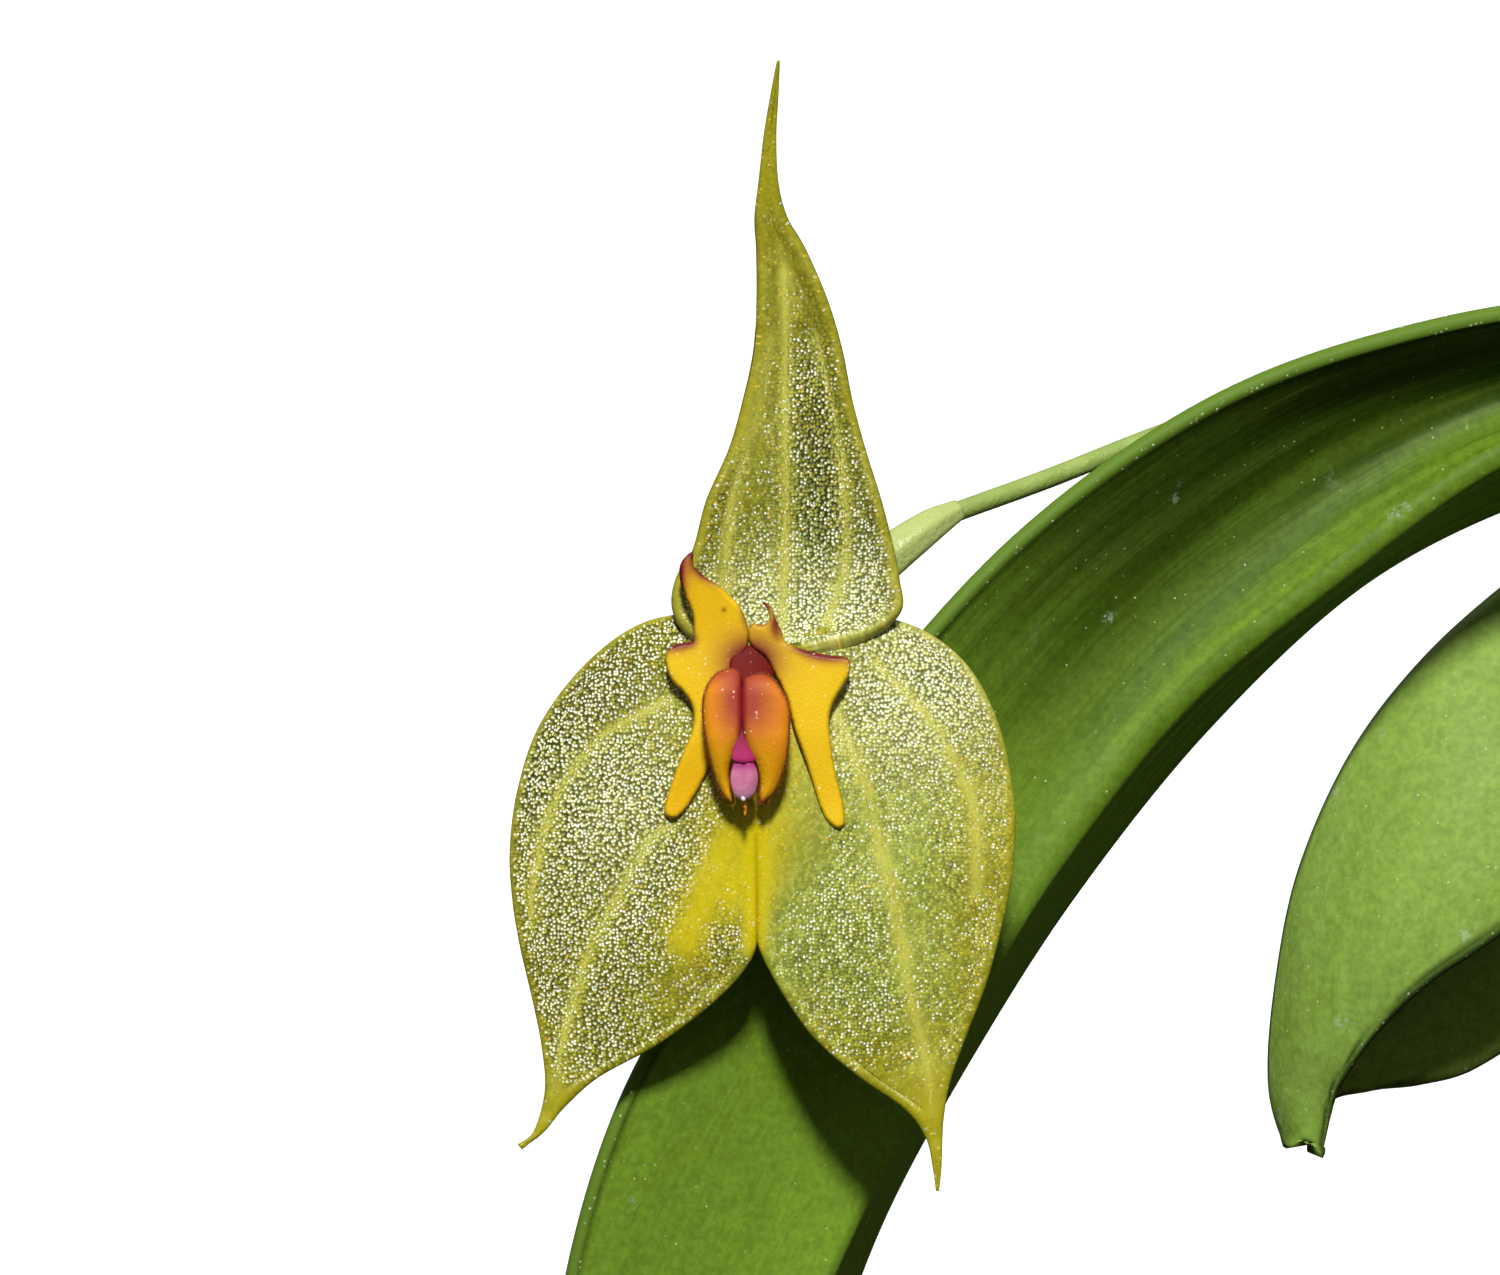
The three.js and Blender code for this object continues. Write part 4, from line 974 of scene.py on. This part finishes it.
def stalks():
    material = stalk_finish()
    path = smooth(OVARY_LINE, 60)
    points, faces = swept(path, smooth(OVARY_WIDE, 60), smooth(OVARY_WIDE, 60), 36)
    points = ribbed(points, path, 6, 0.045)
    pale = {"pale": np.ones(len(points))}
    piece("ovary_skin", from_bloom(points), faces, material, ["ovary"], pale)
    heap = Heap()
    path = smooth(PEDICEL_LINE, 60)
    joint = 0.16 * np.exp(-(np.linspace(1, 0, 61) / 0.05) ** 2) * PEDICEL_WIDE
    points, faces = swept(path, PEDICEL_WIDE + joint, PEDICEL_WIDE + joint, 24)
    heap.add(from_bloom(points), faces, {"pale": 0.3})
    heap.piece("pedicel_skin", material, "stalk", ["pedicel"])
    flower_stalk(material)


def flower_stalk(material):
    heap = Heap()
    path = smooth(STALK_LINE, 120)
    points, faces = swept(path, STALK_WIDE, STALK_WIDE, 20)
    heap.add(from_bloom(points), faces, {"pale": 0.0})
    _, sideways, other = frames_along(path)
    for k, i in enumerate(range(66, 97, 5)):
        side = 1 if k % 2 else -1
        away = unit(sideways[i] * side + 0.3 * other[i])
        ahead = unit(path[i + 1] - path[i])
        line = path[i] + np.outer([0, 0.5, 1.0, 1.5], ahead) + np.outer([0.22, 0.30, 0.34, 0.42], away)
        points, faces = swept(smooth(line, 10), smooth([0.2, 0.24, 0.2, 0.03], 10), 0.07, 10)
        heap.add(from_bloom(points), faces, {"dry": 0.8})
    for top, tip, size in BUDS:
        top, tip = np.array(top), np.array(tip)
        line = top + np.outer([0, 0.25, 0.6, 0.85, 1.0], tip - top)
        points, faces = swept(smooth(line, 24), smooth([0.2, 0.9, 1.0, 0.6, 0.08], 24) * size,
                              smooth([0.2, 0.9, 1.0, 0.6, 0.08], 24) * size, 20)
        heap.add(from_bloom(points), faces, {"pale": 0.6})
    heap.piece("flower_stalk_skin", material, "stalk", ["flower_stalk"])


# Leaves. The two beside the bloom follow rails given in the bloom's frame.

ARCHING_LEAF = {
    "near": [
        [28.9, 9, -0.6], [29.1, 8.6, 2.6], [27.3, 7.6, 6], [23.2, 6, 8.45], [18.52, 4.6, 8.83],
        [14.06, 3.8, 8.08], [9.87, 3.2, 6.51], [5.7, 2.6, 3.54], [2.07, 2, -0.54], [-0.4, 1.5, -4.41],
        [-2.87, 1.1, -8.51], [-4.19, 1.5, -12.64], [-4.5, 2.2, -16.25], [-3.9, 2.9, -19.2],
        [-2.9, 3.6, -22.1],
    ],
    "keel": [
        [28.3, 8.6, -0.8], [28, 8.4, 1.8], [26.1, 7.8, 4.6], [23.05, 7, 6.6], [19.55, 6.2, 6.6],
        [16.35, 5.6, 5.3], [13.05, 5.1, 3], [9.45, 4.8, 0], [6.45, 4.5, -3.75], [4.25, 4.2, -7.35],
        [2.2, 4, -11.1], [0.7, 3.8, -14.6], [-0.3, 3.6, -17.7], [-1.3, 3.6, -20.25], [-2.4, 3.6, -22.5],
    ],
    "far": [
        [27.7, 9.2, -1], [27.2, 9.6, 1.4], [25.35, 10.6, 3.6], [22.7, 11.2, 5.15], [20, 11.2, 5.15],
        [17.02, 10.8, 4.44], [13.5, 10.4, 2.59], [10.07, 10.2, -0.62], [7.15, 9.9, -4.25],
        [4.9, 9.4, -7.7], [2.85, 9, -11.4], [1.5, 8.2, -14.9], [0.5, 7, -17.95], [-0.7, 5.4, -20.55],
        [-2.1, 3.9, -22.7],
    ],
    "near_sag": [0.4, 0.5, 0.7, 1, 1.3, 1.5, 1.5, 1.2, 0.8, 0.4, 0.2, 0.2, 0.2, 0.1, 0],
    "far_sag": 0.4,
}
HANGING_LEAF = {
    "near": [
        [27.1, 21, 0.5], [26.6, 20.4, 2.4], [24.7, 18.2, 2.9], [22.35, 14.5, 1.6], [20.55, 11.4, -0.85],
        [18.8, 9.8, -3.3], [16.95, 9, -5.15], [15.1, 9.1, -6.45], [14, 9.6, -7.55], [13.3, 10.1, -8.55],
        [12.95, 10.7, -9.35], [12.65, 11, -10.35],
    ],
    "keel": [
        [27.6, 21.4, 0.6], [27.4, 21.2, 3], [25.5, 19.6, 5], [22.45, 16.4, 5.35], [19.75, 13.4, 4.35],
        [17.55, 11.6, 2.75], [15.35, 10.7, 0.8], [13.65, 10.6, -1.35], [12.5, 10.8, -3.9],
        [12, 11, -6.4], [11.85, 11.2, -8.6], [12.15, 11.3, -10.05],
    ],
    "far": [
        [27.1, 21.9, 0.5], [26.6, 22.1, 2.4], [24.7, 21.3, 2.4], [22.55, 18.8, 0.5],
        [20.95, 16.2, -2.25], [19.2, 14.6, -5.05], [17.75, 13.6, -7.3], [16.3, 13.1, -8.4],
        [15.05, 12.7, -8.75], [13.9, 12.3, -8.85], [12.9, 12, -9.05], [12.25, 11.6, -9.95],
    ],
    "near_sag": [-0.4, -0.4],
    "far_sag": -0.4,
}
ARCHING_ROWS = 180
ARCHING_COLUMNS = 28  # in each half
HANGING_ROWS = 140
HANGING_COLUMNS = 24
NOTCH_SHARE = 0.22
NOTCH_DEPTH = 0.3


def rail_grid(leaf, rows, half_columns):
    near, keel, far = (smooth(leaf[rail], rows) for rail in ("near", "keel", "far"))
    near_sag = smooth(leaf["near_sag"], rows)[:, None]
    t = crowded(half_columns)

    def half(start, stop, sag, share):
        grid = start[:, None] + (stop - start)[:, None] * share[None, :, None]
        grid[..., 1] += sag * 4 * share * (1 - share)
        return grid

    nearer, further = half(near, keel, near_sag, t), half(keel, far, leaf["far_sag"], 1 - t[::-1])
    return np.concatenate([nearer, further[:, 1:]], axis=1)


def notched(grid, share, depth):
    """Draws the end row in to a small notch at one share of the way across, and rounds the corner at its
    start.
    """
    u = np.linspace(0, 1, grid.shape[1])
    drawn = depth * np.exp(-((u - share) / 0.07) ** 2) + depth * ease(u, 0.08, 0.0)
    back = unit(grid[-6] - grid[-1]) * drawn[:, None]
    grid[-3:] += back[None] * np.array([0.35, 0.7, 1.0])[:, None, None]
    return grid


LEAF_THICKNESS = 0.6
LEAF_MARGIN = 0.38
LEAF_EDGE_RADIUS = 0.13
LEAF_SHADOW_LINE = 0.21  # how far the painted shadow line lies inside the margin
LEAF_GLINT_ROW = 0.12  # and how far the row of painted glints does


def leaf_piece(name, node, grid, material, shade=0.0, streak=1.0):
    """A leaf with a blunt margin that shows as a narrow band. shade is how much painted shade darkens its
    colour.
    """
    side, foot, across = edge_distance(grid)
    length = foot[-1].max()
    edge = np.minimum(side, length - foot + 0.04)
    thick = LEAF_MARGIN + (LEAF_THICKNESS - LEAF_MARGIN) * ease(side, 0.1, 1.2)
    keel = across - across[:, -1:] / 2
    wavy = 0.06 * wobble(grid, 0.22, len(name))
    grid[..., 2] += wavy * ease(side, 0.0, 1.5)
    points, faces = shell(grid, thick * rounded_edge(edge, LEAF_EDGE_RADIUS))
    plan = np.tile(np.stack([keel, foot], -1).reshape(-1, 2), (2, 1))
    # The dark line inside the margin is a painted shadow, the row of bright dots painted glints, and the
    # shade mark painted shade
    marks = {"rim": ease(side, 0.16, 0.10), "vein": 0.3 * np.exp(-(keel / 0.35) ** 2),
             "crease": 0.85 * np.exp(-((side - LEAF_SHADOW_LINE) / 0.05) ** 2),
             "margin_glints": np.exp(-((side - LEAF_GLINT_ROW) / 0.05) ** 2),
             "shade": np.broadcast_to(shade, side.shape), "streak": np.broadcast_to(streak, side.shape)}
    marks = {key: both_sides(value) for key, value in marks.items()}
    piece(name, points, faces, material, [node], marks, plan)


# The other leaves and all stems follow the construction's own formulas

LEAF_ROWS = 11
LEAF_TIP_WIDTH = 0.5
LEAF_STALK_WIDTH = 0.75
LEAF_STALK_SHARE = 0.06
LEAF_FOLD_AT_STALK = 62
LEAF_FOLD_BEYOND = 16
LEAF_OPENED_BY = 0.55
SEAT_GAP = 0.3
SHOOTS = {
    "right_front": ([6, -4], [13, -9, 116], (-22, 62, 38, 50, 13)),
    "back": ([2, 8], [7, 21, 119], (72, 66, 30, 45, 12)),
    "right_back": ([9, 4], [22, 12, 109], (28, 58, 46, 48, 13)),
    "front": ([-2, -8], [-5, -21, 99], (262, 56, 42, 42, 12)),
    "front_right": ([5, -11], [16, -24, 95], (304, 58, 40, 43, 12.5)),
    "left_front": ([-10, -4], [-23, -10, 85], (200, 52, 40, 38, 11.5)),
    "left_back": ([-11, 4], [-24, 12, 83], (158, 50, 44, 38, 11.5)),
    "right": ([13, -2], [30, -5, 91], (-4, 56, 44, 42, 12)),
    "back_left": ([-3, 13], [-6, 30, 93], (98, 56, 40, 40, 12)),
    "back_right": ([9, 12], [20, 27, 90], (52, 58, 42, 40, 12)),
}


def leaf_heading(heading, rise):
    turn, slope = math.radians(heading), math.radians(rise)
    return np.array([math.cos(turn) * math.cos(slope), math.sin(turn) * math.cos(slope), math.sin(slope)])


def leaf_half_width(s, width):
    t = max(0, s - LEAF_STALK_SHARE) / (1 - LEAF_STALK_SHARE)
    oval = (width / 2) * max(math.sin(math.pi * t**0.9), 0) ** 0.85
    return max(LEAF_STALK_WIDTH + (LEAF_TIP_WIDTH - LEAF_STALK_WIDTH) * s, oval)


def arc_grid(leaf, base, rows, columns):
    heading, rise, fall, length, width = leaf
    point = np.array(base, float)
    turn = math.radians(heading)
    across = np.array([-math.sin(turn), math.cos(turn), 0])
    u = np.sin(np.linspace(-np.pi / 2, np.pi / 2, columns + 1))
    stations = []
    for i in range(LEAF_ROWS + 1):
        s = i / LEAF_ROWS
        ahead = leaf_heading(heading, rise + (-fall - rise) * s)
        lift = np.cross(ahead, across)
        half = leaf_half_width(s, width)
        opened = min(1, s / LEAF_OPENED_BY)
        fold = math.radians(LEAF_FOLD_AT_STALK + (LEAF_FOLD_BEYOND - LEAF_FOLD_AT_STALK) * opened)
        dish = 0.05 * half * (1 - u**2) * opened
        rise_by = np.abs(u) * half * math.sin(fold) - dish
        notch = -0.5 * np.clip(1 - np.abs(u) / 0.55, 0, 1) * (i == LEAF_ROWS)
        stations.append(point + np.outer(u * half * math.cos(fold), across) + np.outer(rise_by, lift)
                        + np.outer(notch, ahead))
        point = point + ahead * length / LEAF_ROWS
    return smooth(np.array(stations), rows)


# The pot and the moss

POT_HEIGHT = 58
POT_FOOT_RADIUS = 22
POT_RIM_RADIUS = 33
POT_RIM_HEIGHT = 12
POT_WALL = 3.4
POT_FLOOR = 4.5
POT_SIDES = 144
DRAIN_RADIUS = 2.6
DRAIN_CIRCLE = 13
MOSS_LEVEL = 51
MOSS_DOME = 3.5
MOSS_SIDES = 30


def inner_radius(z):
    return POT_FOOT_RADIUS + (POT_RIM_RADIUS - 2 - POT_FOOT_RADIUS) * z / POT_HEIGHT - POT_WALL


MOSS_RADIUS = inner_radius(MOSS_LEVEL) - SEAT_GAP / math.cos(math.pi / MOSS_SIDES)


def moss_height(x, y):
    share = np.hypot(x, y) / MOSS_RADIUS
    cushions = (0.8 * np.sin(0.62 * x + 1.1) * np.cos(0.55 * y - 0.4)
                + 0.45 * np.sin(1.13 * y + 0.5 * x) + 0.35 * np.cos(1.3 * x - 0.7 * y))
    return MOSS_LEVEL + MOSS_DOME * (1 - share * share) + cushions * (1.25 - share)


def rounded_profile(corners, radius, cuts):
    """A closed half outline with its corners cut round, as (radius, height) pairs."""
    p = np.asarray(corners, float)
    out = [p[0]]
    for a, b, c in zip(p[:-2], p[1:-1], p[2:]):
        reach = min(radius, np.linalg.norm(a - b) * 0.45, np.linalg.norm(c - b) * 0.45)
        start, stop = b + unit(a - b) * reach, b + unit(c - b) * reach
        t = np.linspace(0, 1, cuts)[:, None]
        out.extend((1 - t) ** 2 * start + 2 * t * (1 - t) * b + t**2 * stop)
    out.append(p[-1])
    return np.array(out)


def turned_body(profile, sides):
    turn = around(sides)
    rings = np.stack([profile[1:-1, 0, None] * np.cos(turn), profile[1:-1, 0, None] * np.sin(turn),
                      np.broadcast_to(profile[1:-1, 1, None], (len(profile) - 2, sides))], -1)
    return tube_body(rings)


def pot():
    band = POT_HEIGHT - POT_RIM_HEIGHT
    corners = [[0, 0], [POT_FOOT_RADIUS - 0.8, 0], [POT_FOOT_RADIUS, 0.8],
               [inner_radius(band) + POT_WALL, band], [POT_RIM_RADIUS - 0.9, band + 0.8],
               [POT_RIM_RADIUS, POT_HEIGHT - 1], [POT_RIM_RADIUS - 0.8, POT_HEIGHT],
               [inner_radius(POT_HEIGHT) + 0.7, POT_HEIGHT],
               [inner_radius(POT_HEIGHT - 1), POT_HEIGHT - 1], [inner_radius(POT_FLOOR), POT_FLOOR],
               [0, POT_FLOOR]]
    profile = rounded_profile(corners, 0.9, 6)
    dense = [profile[0]]
    for a, b in zip(profile[:-1], profile[1:]):
        pieces = max(1, int(np.linalg.norm(b - a) / 2.0))
        dense.extend(a + (b - a) * k / pieces for k in range(1, pieces + 1))
    points, faces = turned_body(np.array(dense), POT_SIDES)
    radial = 1 + 0.0012 * wobble(points, 0.06) * ease(points[:, 2], 0.0, 6.0)
    points[:, :2] *= radial[:, None]
    body = piece("pot_clay", points, faces, clay_finish(), ["pot"])
    for k in range(4):
        turn = math.radians(45 + 90 * k)
        centre = [DRAIN_CIRCLE * math.cos(turn), DRAIN_CIRCLE * math.sin(turn)]
        path = np.array([[*centre, -1.0], [*centre, POT_FLOOR + 1]])
        points, faces = swept(path, DRAIN_RADIUS, DRAIN_RADIUS, 32)
        cutter = placed("drain_cutter", mesh_of("drain_cutter", points, faces))
        cut = body.modifiers.new("drain", "BOOLEAN")
        cut.operation = "DIFFERENCE"
        cut.solver = "EXACT"
        cut.object = cutter
        bpy.context.view_layer.update()
        made = bpy.data.meshes.new_from_object(body.evaluated_get(bpy.context.evaluated_depsgraph_get()))
        body.modifiers.clear()
        body.data = made
        bpy.data.objects.remove(cutter)
    body.data.shade_smooth()


def moss():
    material = moss_finish()
    rings, sides = 44, 160
    radii = MOSS_RADIUS * np.linspace(1, 0, rings, endpoint=False)
    turn = around(sides)
    x, y = radii[:, None] * np.cos(turn), radii[:, None] * np.sin(turn)
    top = np.stack([x, y, moss_height(x, y)], -1)
    top[..., 2] += 0.35 * wobble(top, 0.9) - 0.3
    floor = POT_FLOOR + SEAT_GAP
    low = inner_radius(floor) - SEAT_GAP / math.cos(math.pi / MOSS_SIDES)
    base = np.stack([low * np.cos(turn), low * np.sin(turn), np.full(sides, floor)], -1)[None]
    points, faces = tube_body(np.concatenate([base, top]))
    piece("moss_bed", points, faces, material, ["moss"], {"tip": np.full(len(points), 0.12)})
    moss_tufts(material)


MOSS_TUFTS = 5200
TUFT_LEAVES = 6


def moss_tufts(material):
    """Small leafy moss shoots all over the bed, each a ring of slim closed blades."""
    radius = (MOSS_RADIUS - 0.5) * np.sqrt(rng.uniform(0, 1, MOSS_TUFTS))
    turn = rng.uniform(0, 2 * np.pi, MOSS_TUFTS)
    x, y = radius * np.cos(turn), radius * np.sin(turn)
    roots = np.stack([x, y, moss_height(x, y) - 0.45], -1)
    heap = Heap()
    sizes = rng.uniform(0.55, 1.25, MOSS_TUFTS)
    for k in range(TUFT_LEAVES):
        spin = rng.uniform(0, 2 * np.pi, MOSS_TUFTS)
        spread = rng.uniform(0.25, 0.95, MOSS_TUFTS)
        ways = np.stack([np.cos(spin) * spread, np.sin(spin) * spread, np.full(MOSS_TUFTS, 0.8)], -1)
        points, faces = thorns(roots, ways, sizes * rng.uniform(0.8, 1.25, MOSS_TUFTS), 0.13)
        tips = np.tile([0.15, 0.15, 0.15, 1.0], MOSS_TUFTS)
        tone = np.repeat(rng.uniform(0.55, 1.0, MOSS_TUFTS), 4)
        heap.add(points, faces, {"tip": tips * tone})
    heap.piece("moss_tufts", material, "moss")


# Stems in ribbed, funnel-mouthed sheaths

STEM_RADIUS = 0.6
STEM_END_RADIUS = 0.75
STEM_DEPTH = 9
STEM_ROWS = 60
STEM_SIDES = 16
STEM_LEAN = 0.45
STEM_FOOT_PULL = 0.4
STEM_TOP_PULL = 0.3
SHEATH_COUNT = 6
SHEATH_RADIUS = 0.8
SHEATH_MOUTH = 1.25
STEM_STEPS = SHEATH_COUNT * 3
TOP_SHEATH_END = 1.012  # it wraps the leaf's base
SHEATH_RIBS = 9
SHEATH_SIDES = 36
SHEATH_ROWS = 18


def stem_line(foot, top, arrival):
    start = np.array([foot[0], foot[1], float(moss_height(foot[0], foot[1]))])
    top, arrival = np.asarray(top, float), np.asarray(arrival, float)
    span = top - start
    reach = np.linalg.norm(span)
    leaving = unit(span * np.array([STEM_LEAN, STEM_LEAN, 1]))
    a, b, c, d = start, start + leaving * reach * STEM_FOOT_PULL, top - arrival * reach * STEM_TOP_PULL, top

    def at(t):
        t = np.asarray(t, float)[:, None]
        return (1 - t) ** 3 * a + 3 * t * (1 - t) ** 2 * b + 3 * t**2 * (1 - t) * c + t**3 * d

    return start, leaving, at


def sheath(heap, at, foot_t, mouth_t, age, seed):
    """One sheath: slim at its foot, ribbed, and flared at an oblique mouth fringed with short hairs."""
    s = np.linspace(0, 1, SHEATH_ROWS + 1)
    path = at(foot_t + (mouth_t - foot_t) * s)
    ahead, sideways, other = frames_along(path)
    turn = around(SHEATH_SIDES)
    flare = ease(s, 0.78, 1.0) ** 1.3
    radius = SHEATH_RADIUS * (0.88 + 0.10 * np.sin(np.pi * s)) + (SHEATH_MOUTH - SHEATH_RADIUS) * flare
    rib = np.cos(SHEATH_RIBS * turn + seed)
    slant = 0.5 + 0.5 * np.cos(turn - seed)
    out = (np.cos(turn)[None, :, None] * sideways[:, None] + np.sin(turn)[None, :, None] * other[:, None])
    size = radius[:, None] * (1 + 0.055 * rib * ease(s, 0.0, 0.3)[:, None])
    lift = (ease(s, 0.75, 1.0)[:, None] * slant[None] ** 2 * 0.9)[..., None] * ahead[:, None]
    outside = path[:, None] + size[..., None] * out + lift
    inside = path[:, None] + (size - 0.09)[..., None] * out + lift
    rings = np.concatenate([outside, inside[:9:-1]])
    points, faces = tube_body(rings)
    faces = [f for f in faces if len(points) - 1 not in f]
    last = (len(rings) - 1) * SHEATH_SIDES
    points = points[:-1]
    ribs = np.append(np.tile(ease(rib, 0.55, 1.0) * 0.65, len(rings)), 0)
    mouth = np.append(ease(s, 0.95, 1.0), np.full(len(rings) - SHEATH_ROWS - 1, 0.8))
    ribs = np.clip(ribs + 0.7 * np.append(np.repeat(mouth, SHEATH_SIDES), 0), 0, 1)
    faces.append(list(range(last, last + SHEATH_SIDES)))
    heap.add(points, faces, {"rib": ribs, "age": age})
    bases, ways = [], []
    for k in range(SHEATH_SIDES):
        if rib[k] > 0.8:
            for i in (8, 11, 13, 15, 17):
                bases.append(outside[i, k])
                ways.append(out[i, k] + 0.9 * ahead[i])
        bases.append(outside[-1, k])
        ways.append(0.6 * out[-1, k] + ahead[-1])
    hairs, hair_faces = thorns(bases, ways, rng.uniform(0.16, 0.34, len(bases)), 0.028)
    heap.add(hairs, hair_faces, {"rib": 0.55, "age": age})


def stem(name, foot, top, arrival, stem_material, sheath_material):
    start, leaving, at = stem_line(foot, top, arrival)
    buried = [start - leaving * STEM_DEPTH, start - leaving * 0.5]
    core = np.concatenate([buried, at(np.linspace(0, 1, STEM_ROWS))])
    radii = np.concatenate([[STEM_RADIUS] * 2, np.linspace(STEM_RADIUS, STEM_END_RADIUS, STEM_ROWS)])
    points, faces = swept(core, radii, radii, STEM_SIDES)
    piece("core_" + name, points, faces, stem_material, ["stem_" + name])
    heap = Heap()
    for k in range(SHEATH_COUNT):
        foot_t = max(0.0, (3 * k - 1.4) / STEM_STEPS)
        mouth_t = (3 * k + 2) / STEM_STEPS if k < SHEATH_COUNT - 1 else TOP_SHEATH_END
        sheath(heap, at, foot_t, mouth_t, 1 - 0.75 * (k / SHEATH_COUNT) ** 2, 1.7 * k + len(name))
    heap.piece("sheaths_" + name, sheath_material, "stem")


def stems_and_leaves():
    leaf_material = leaf_finish("leaf", (0.060, 0.120, 0.004), (0.135, 0.235, 0.020))
    bright_leaf = leaf_finish("leaf_bright", (0.135, 0.225, 0.028), (0.17, 0.27, 0.045), (0.03, 0.055, 0.01))
    core_material = stalk_finish()
    sheath_material = sheath_finish()
    for name, (foot, top, leaf) in SHOOTS.items():
        heading = leaf_heading(leaf[0], leaf[1])
        stem(name, foot, top, heading, core_material, sheath_material)
        base = np.array(top, float) + heading * SEAT_GAP
        leaf_piece("blade_" + name, "leaf_" + name, arc_grid(leaf, base, 66, 36), leaf_material)
    stem("arching", [-4, 1], from_bloom([28.35, 8.9, -1.5]), unit(turned_from_bloom([-0.15, -0.1, 1])),
         core_material, sheath_material)
    stem("hanging", [-5, 8], from_bloom([27.3, 21.5, 0]), unit(turned_from_bloom([-0.1, 0, 1])),
         core_material, sheath_material)
    arching = rail_grid(ARCHING_LEAF, ARCHING_ROWS, ARCHING_COLUMNS)
    # Painted shade on the arching leaf: the near half is darkened away from the keel, most in the upper arch
    # where the leaf turns from the light under its curled rim; the band by the keel is dimmed a little in
    # the upper part as well
    share, far_half = crowded(ARCHING_COLUMNS), np.zeros(ARCHING_COLUMNS)
    shaded_side = np.concatenate([ease(share, 0.82, 0.62), far_half])
    keel_band = np.concatenate([ease(share, 0.62, 0.82), far_half])
    upper = ease(arching[..., 0], 2.0, 9.0) * ease(arching[..., 2], -4.0, 0.0)
    dim = (0.08 + 0.56 * upper) * shaded_side + 0.22 * keel_band * ease(arching[..., 2], -9.0, -4.0)
    leaf_piece("blade_arching", "leaf_arching", from_bloom(arching), leaf_material, dim, upper)
    hanging = notched(rail_grid(HANGING_LEAF, HANGING_ROWS, HANGING_COLUMNS), NOTCH_SHARE, NOTCH_DEPTH)
    leaf_piece("blade_hanging", "leaf_hanging", from_bloom(hanging), bright_leaf, 0.0, 0.3)


# Camera, light and floor. The photograph's frame is 1500 by 1275 pixels and 33 mm wide at the bloom.

PHOTO_WIDE_MM = 33.0
CAMERA_REACH = 400.0
CAMERA_AIM = [-0.154, 0.0, 1.375]
SENSOR_WIDE = 36.0


def camera():
    data = bpy.data.cameras.new("camera")
    data.sensor_width = SENSOR_WIDE
    data.lens = SENSOR_WIDE * CAMERA_REACH / PHOTO_WIDE_MM
    data.clip_start, data.clip_end = 0.01, 50
    made = placed("camera", data)
    made.location = from_bloom(np.array(CAMERA_AIM) - [0, CAMERA_REACH, 0]) * MM
    made.rotation_euler = (math.radians(90) - BLOOM_UPTURN, 0, 0)
    bpy.context.scene.camera = made


KEY_ABOVE_VIEW = 36  # degrees above the line of sight
KEY_STRENGTH = 5.3
KEY_WIDTH = 8
FILL_ABOVE = 0.42
FILL_BELOW = 0.015
FILL_FROM = -0.2  # heights of the view into the sky between which the fill grows
FILL_TO = 0.7
FLOOR_SIDES = 96


def light():
    data = bpy.data.lights.new("key", "SUN")
    data.energy = KEY_STRENGTH
    data.angle = math.radians(KEY_WIDTH)
    key = placed("key", data)
    key.rotation_euler = (math.radians(90 - KEY_ABOVE_VIEW) - BLOOM_UPTURN, 0, 0)
    world = bpy.data.worlds.new("fill")
    world.use_nodes = True
    nodes, links = world.node_tree.nodes, world.node_tree.links
    height = nodes.new("ShaderNodeSeparateXYZ")
    links.new(nodes.new("ShaderNodeTexCoord").outputs["Generated"], height.inputs[0])
    ramp = nodes.new("ShaderNodeMapRange")
    for socket, value in zip(ramp.inputs[1:5], (FILL_FROM, FILL_TO, FILL_BELOW, FILL_ABOVE)):
        socket.default_value = value
    links.new(height.outputs[2], ramp.inputs[0])
    background = nodes["Background"]
    background.inputs["Color"].default_value = (1, 1, 1, 1)
    links.new(ramp.outputs[0], background.inputs["Strength"])
    bpy.context.scene.world = world


def floor():
    turn = around(FLOOR_SIDES)
    radii = np.array([0.0005, 0.2, 1.0, 3.0, 4.5, 5.2, 5.4]) * 1000
    heights = np.array([0, 0, 0, 0, 300, 1200, 4000.0])
    points = np.stack([radii[:, None] * np.cos(turn), radii[:, None] * np.sin(turn),
                       np.broadcast_to(heights[:, None], (len(radii), len(turn)))], -1).reshape(-1, 3)
    i, j = np.meshgrid(np.arange(len(radii) - 1), np.arange(len(turn)), indexing="ij")
    a, b = i * FLOOR_SIDES + j, i * FLOOR_SIDES + (j + 1) % FLOOR_SIDES
    faces = np.stack([a, a + FLOOR_SIDES, b + FLOOR_SIDES, b], -1).reshape(-1, 4).tolist()
    faces.append(list(range(FLOOR_SIDES - 1, -1, -1)))
    shade = Shade("pale_floor", 0.9, 0.0, {"Base Color": (0.5,) * 3, "Emission Color": (1,) * 3,
                                           "Emission Strength": 0.52})
    mesh = mesh_of("floor", points, faces)
    mesh.shade_smooth()
    mesh.materials.append(shade.material)
    made = placed("floor", mesh)
    made.visible_diffuse = False
    made.visible_glossy = False
    made.visible_shadow = False


camera()
sepals()
petals()
lip()
column()
stalks()
stems_and_leaves()
moss()
pot()
light()
floor()
bpy.context.scene.view_settings.view_transform = "Standard"
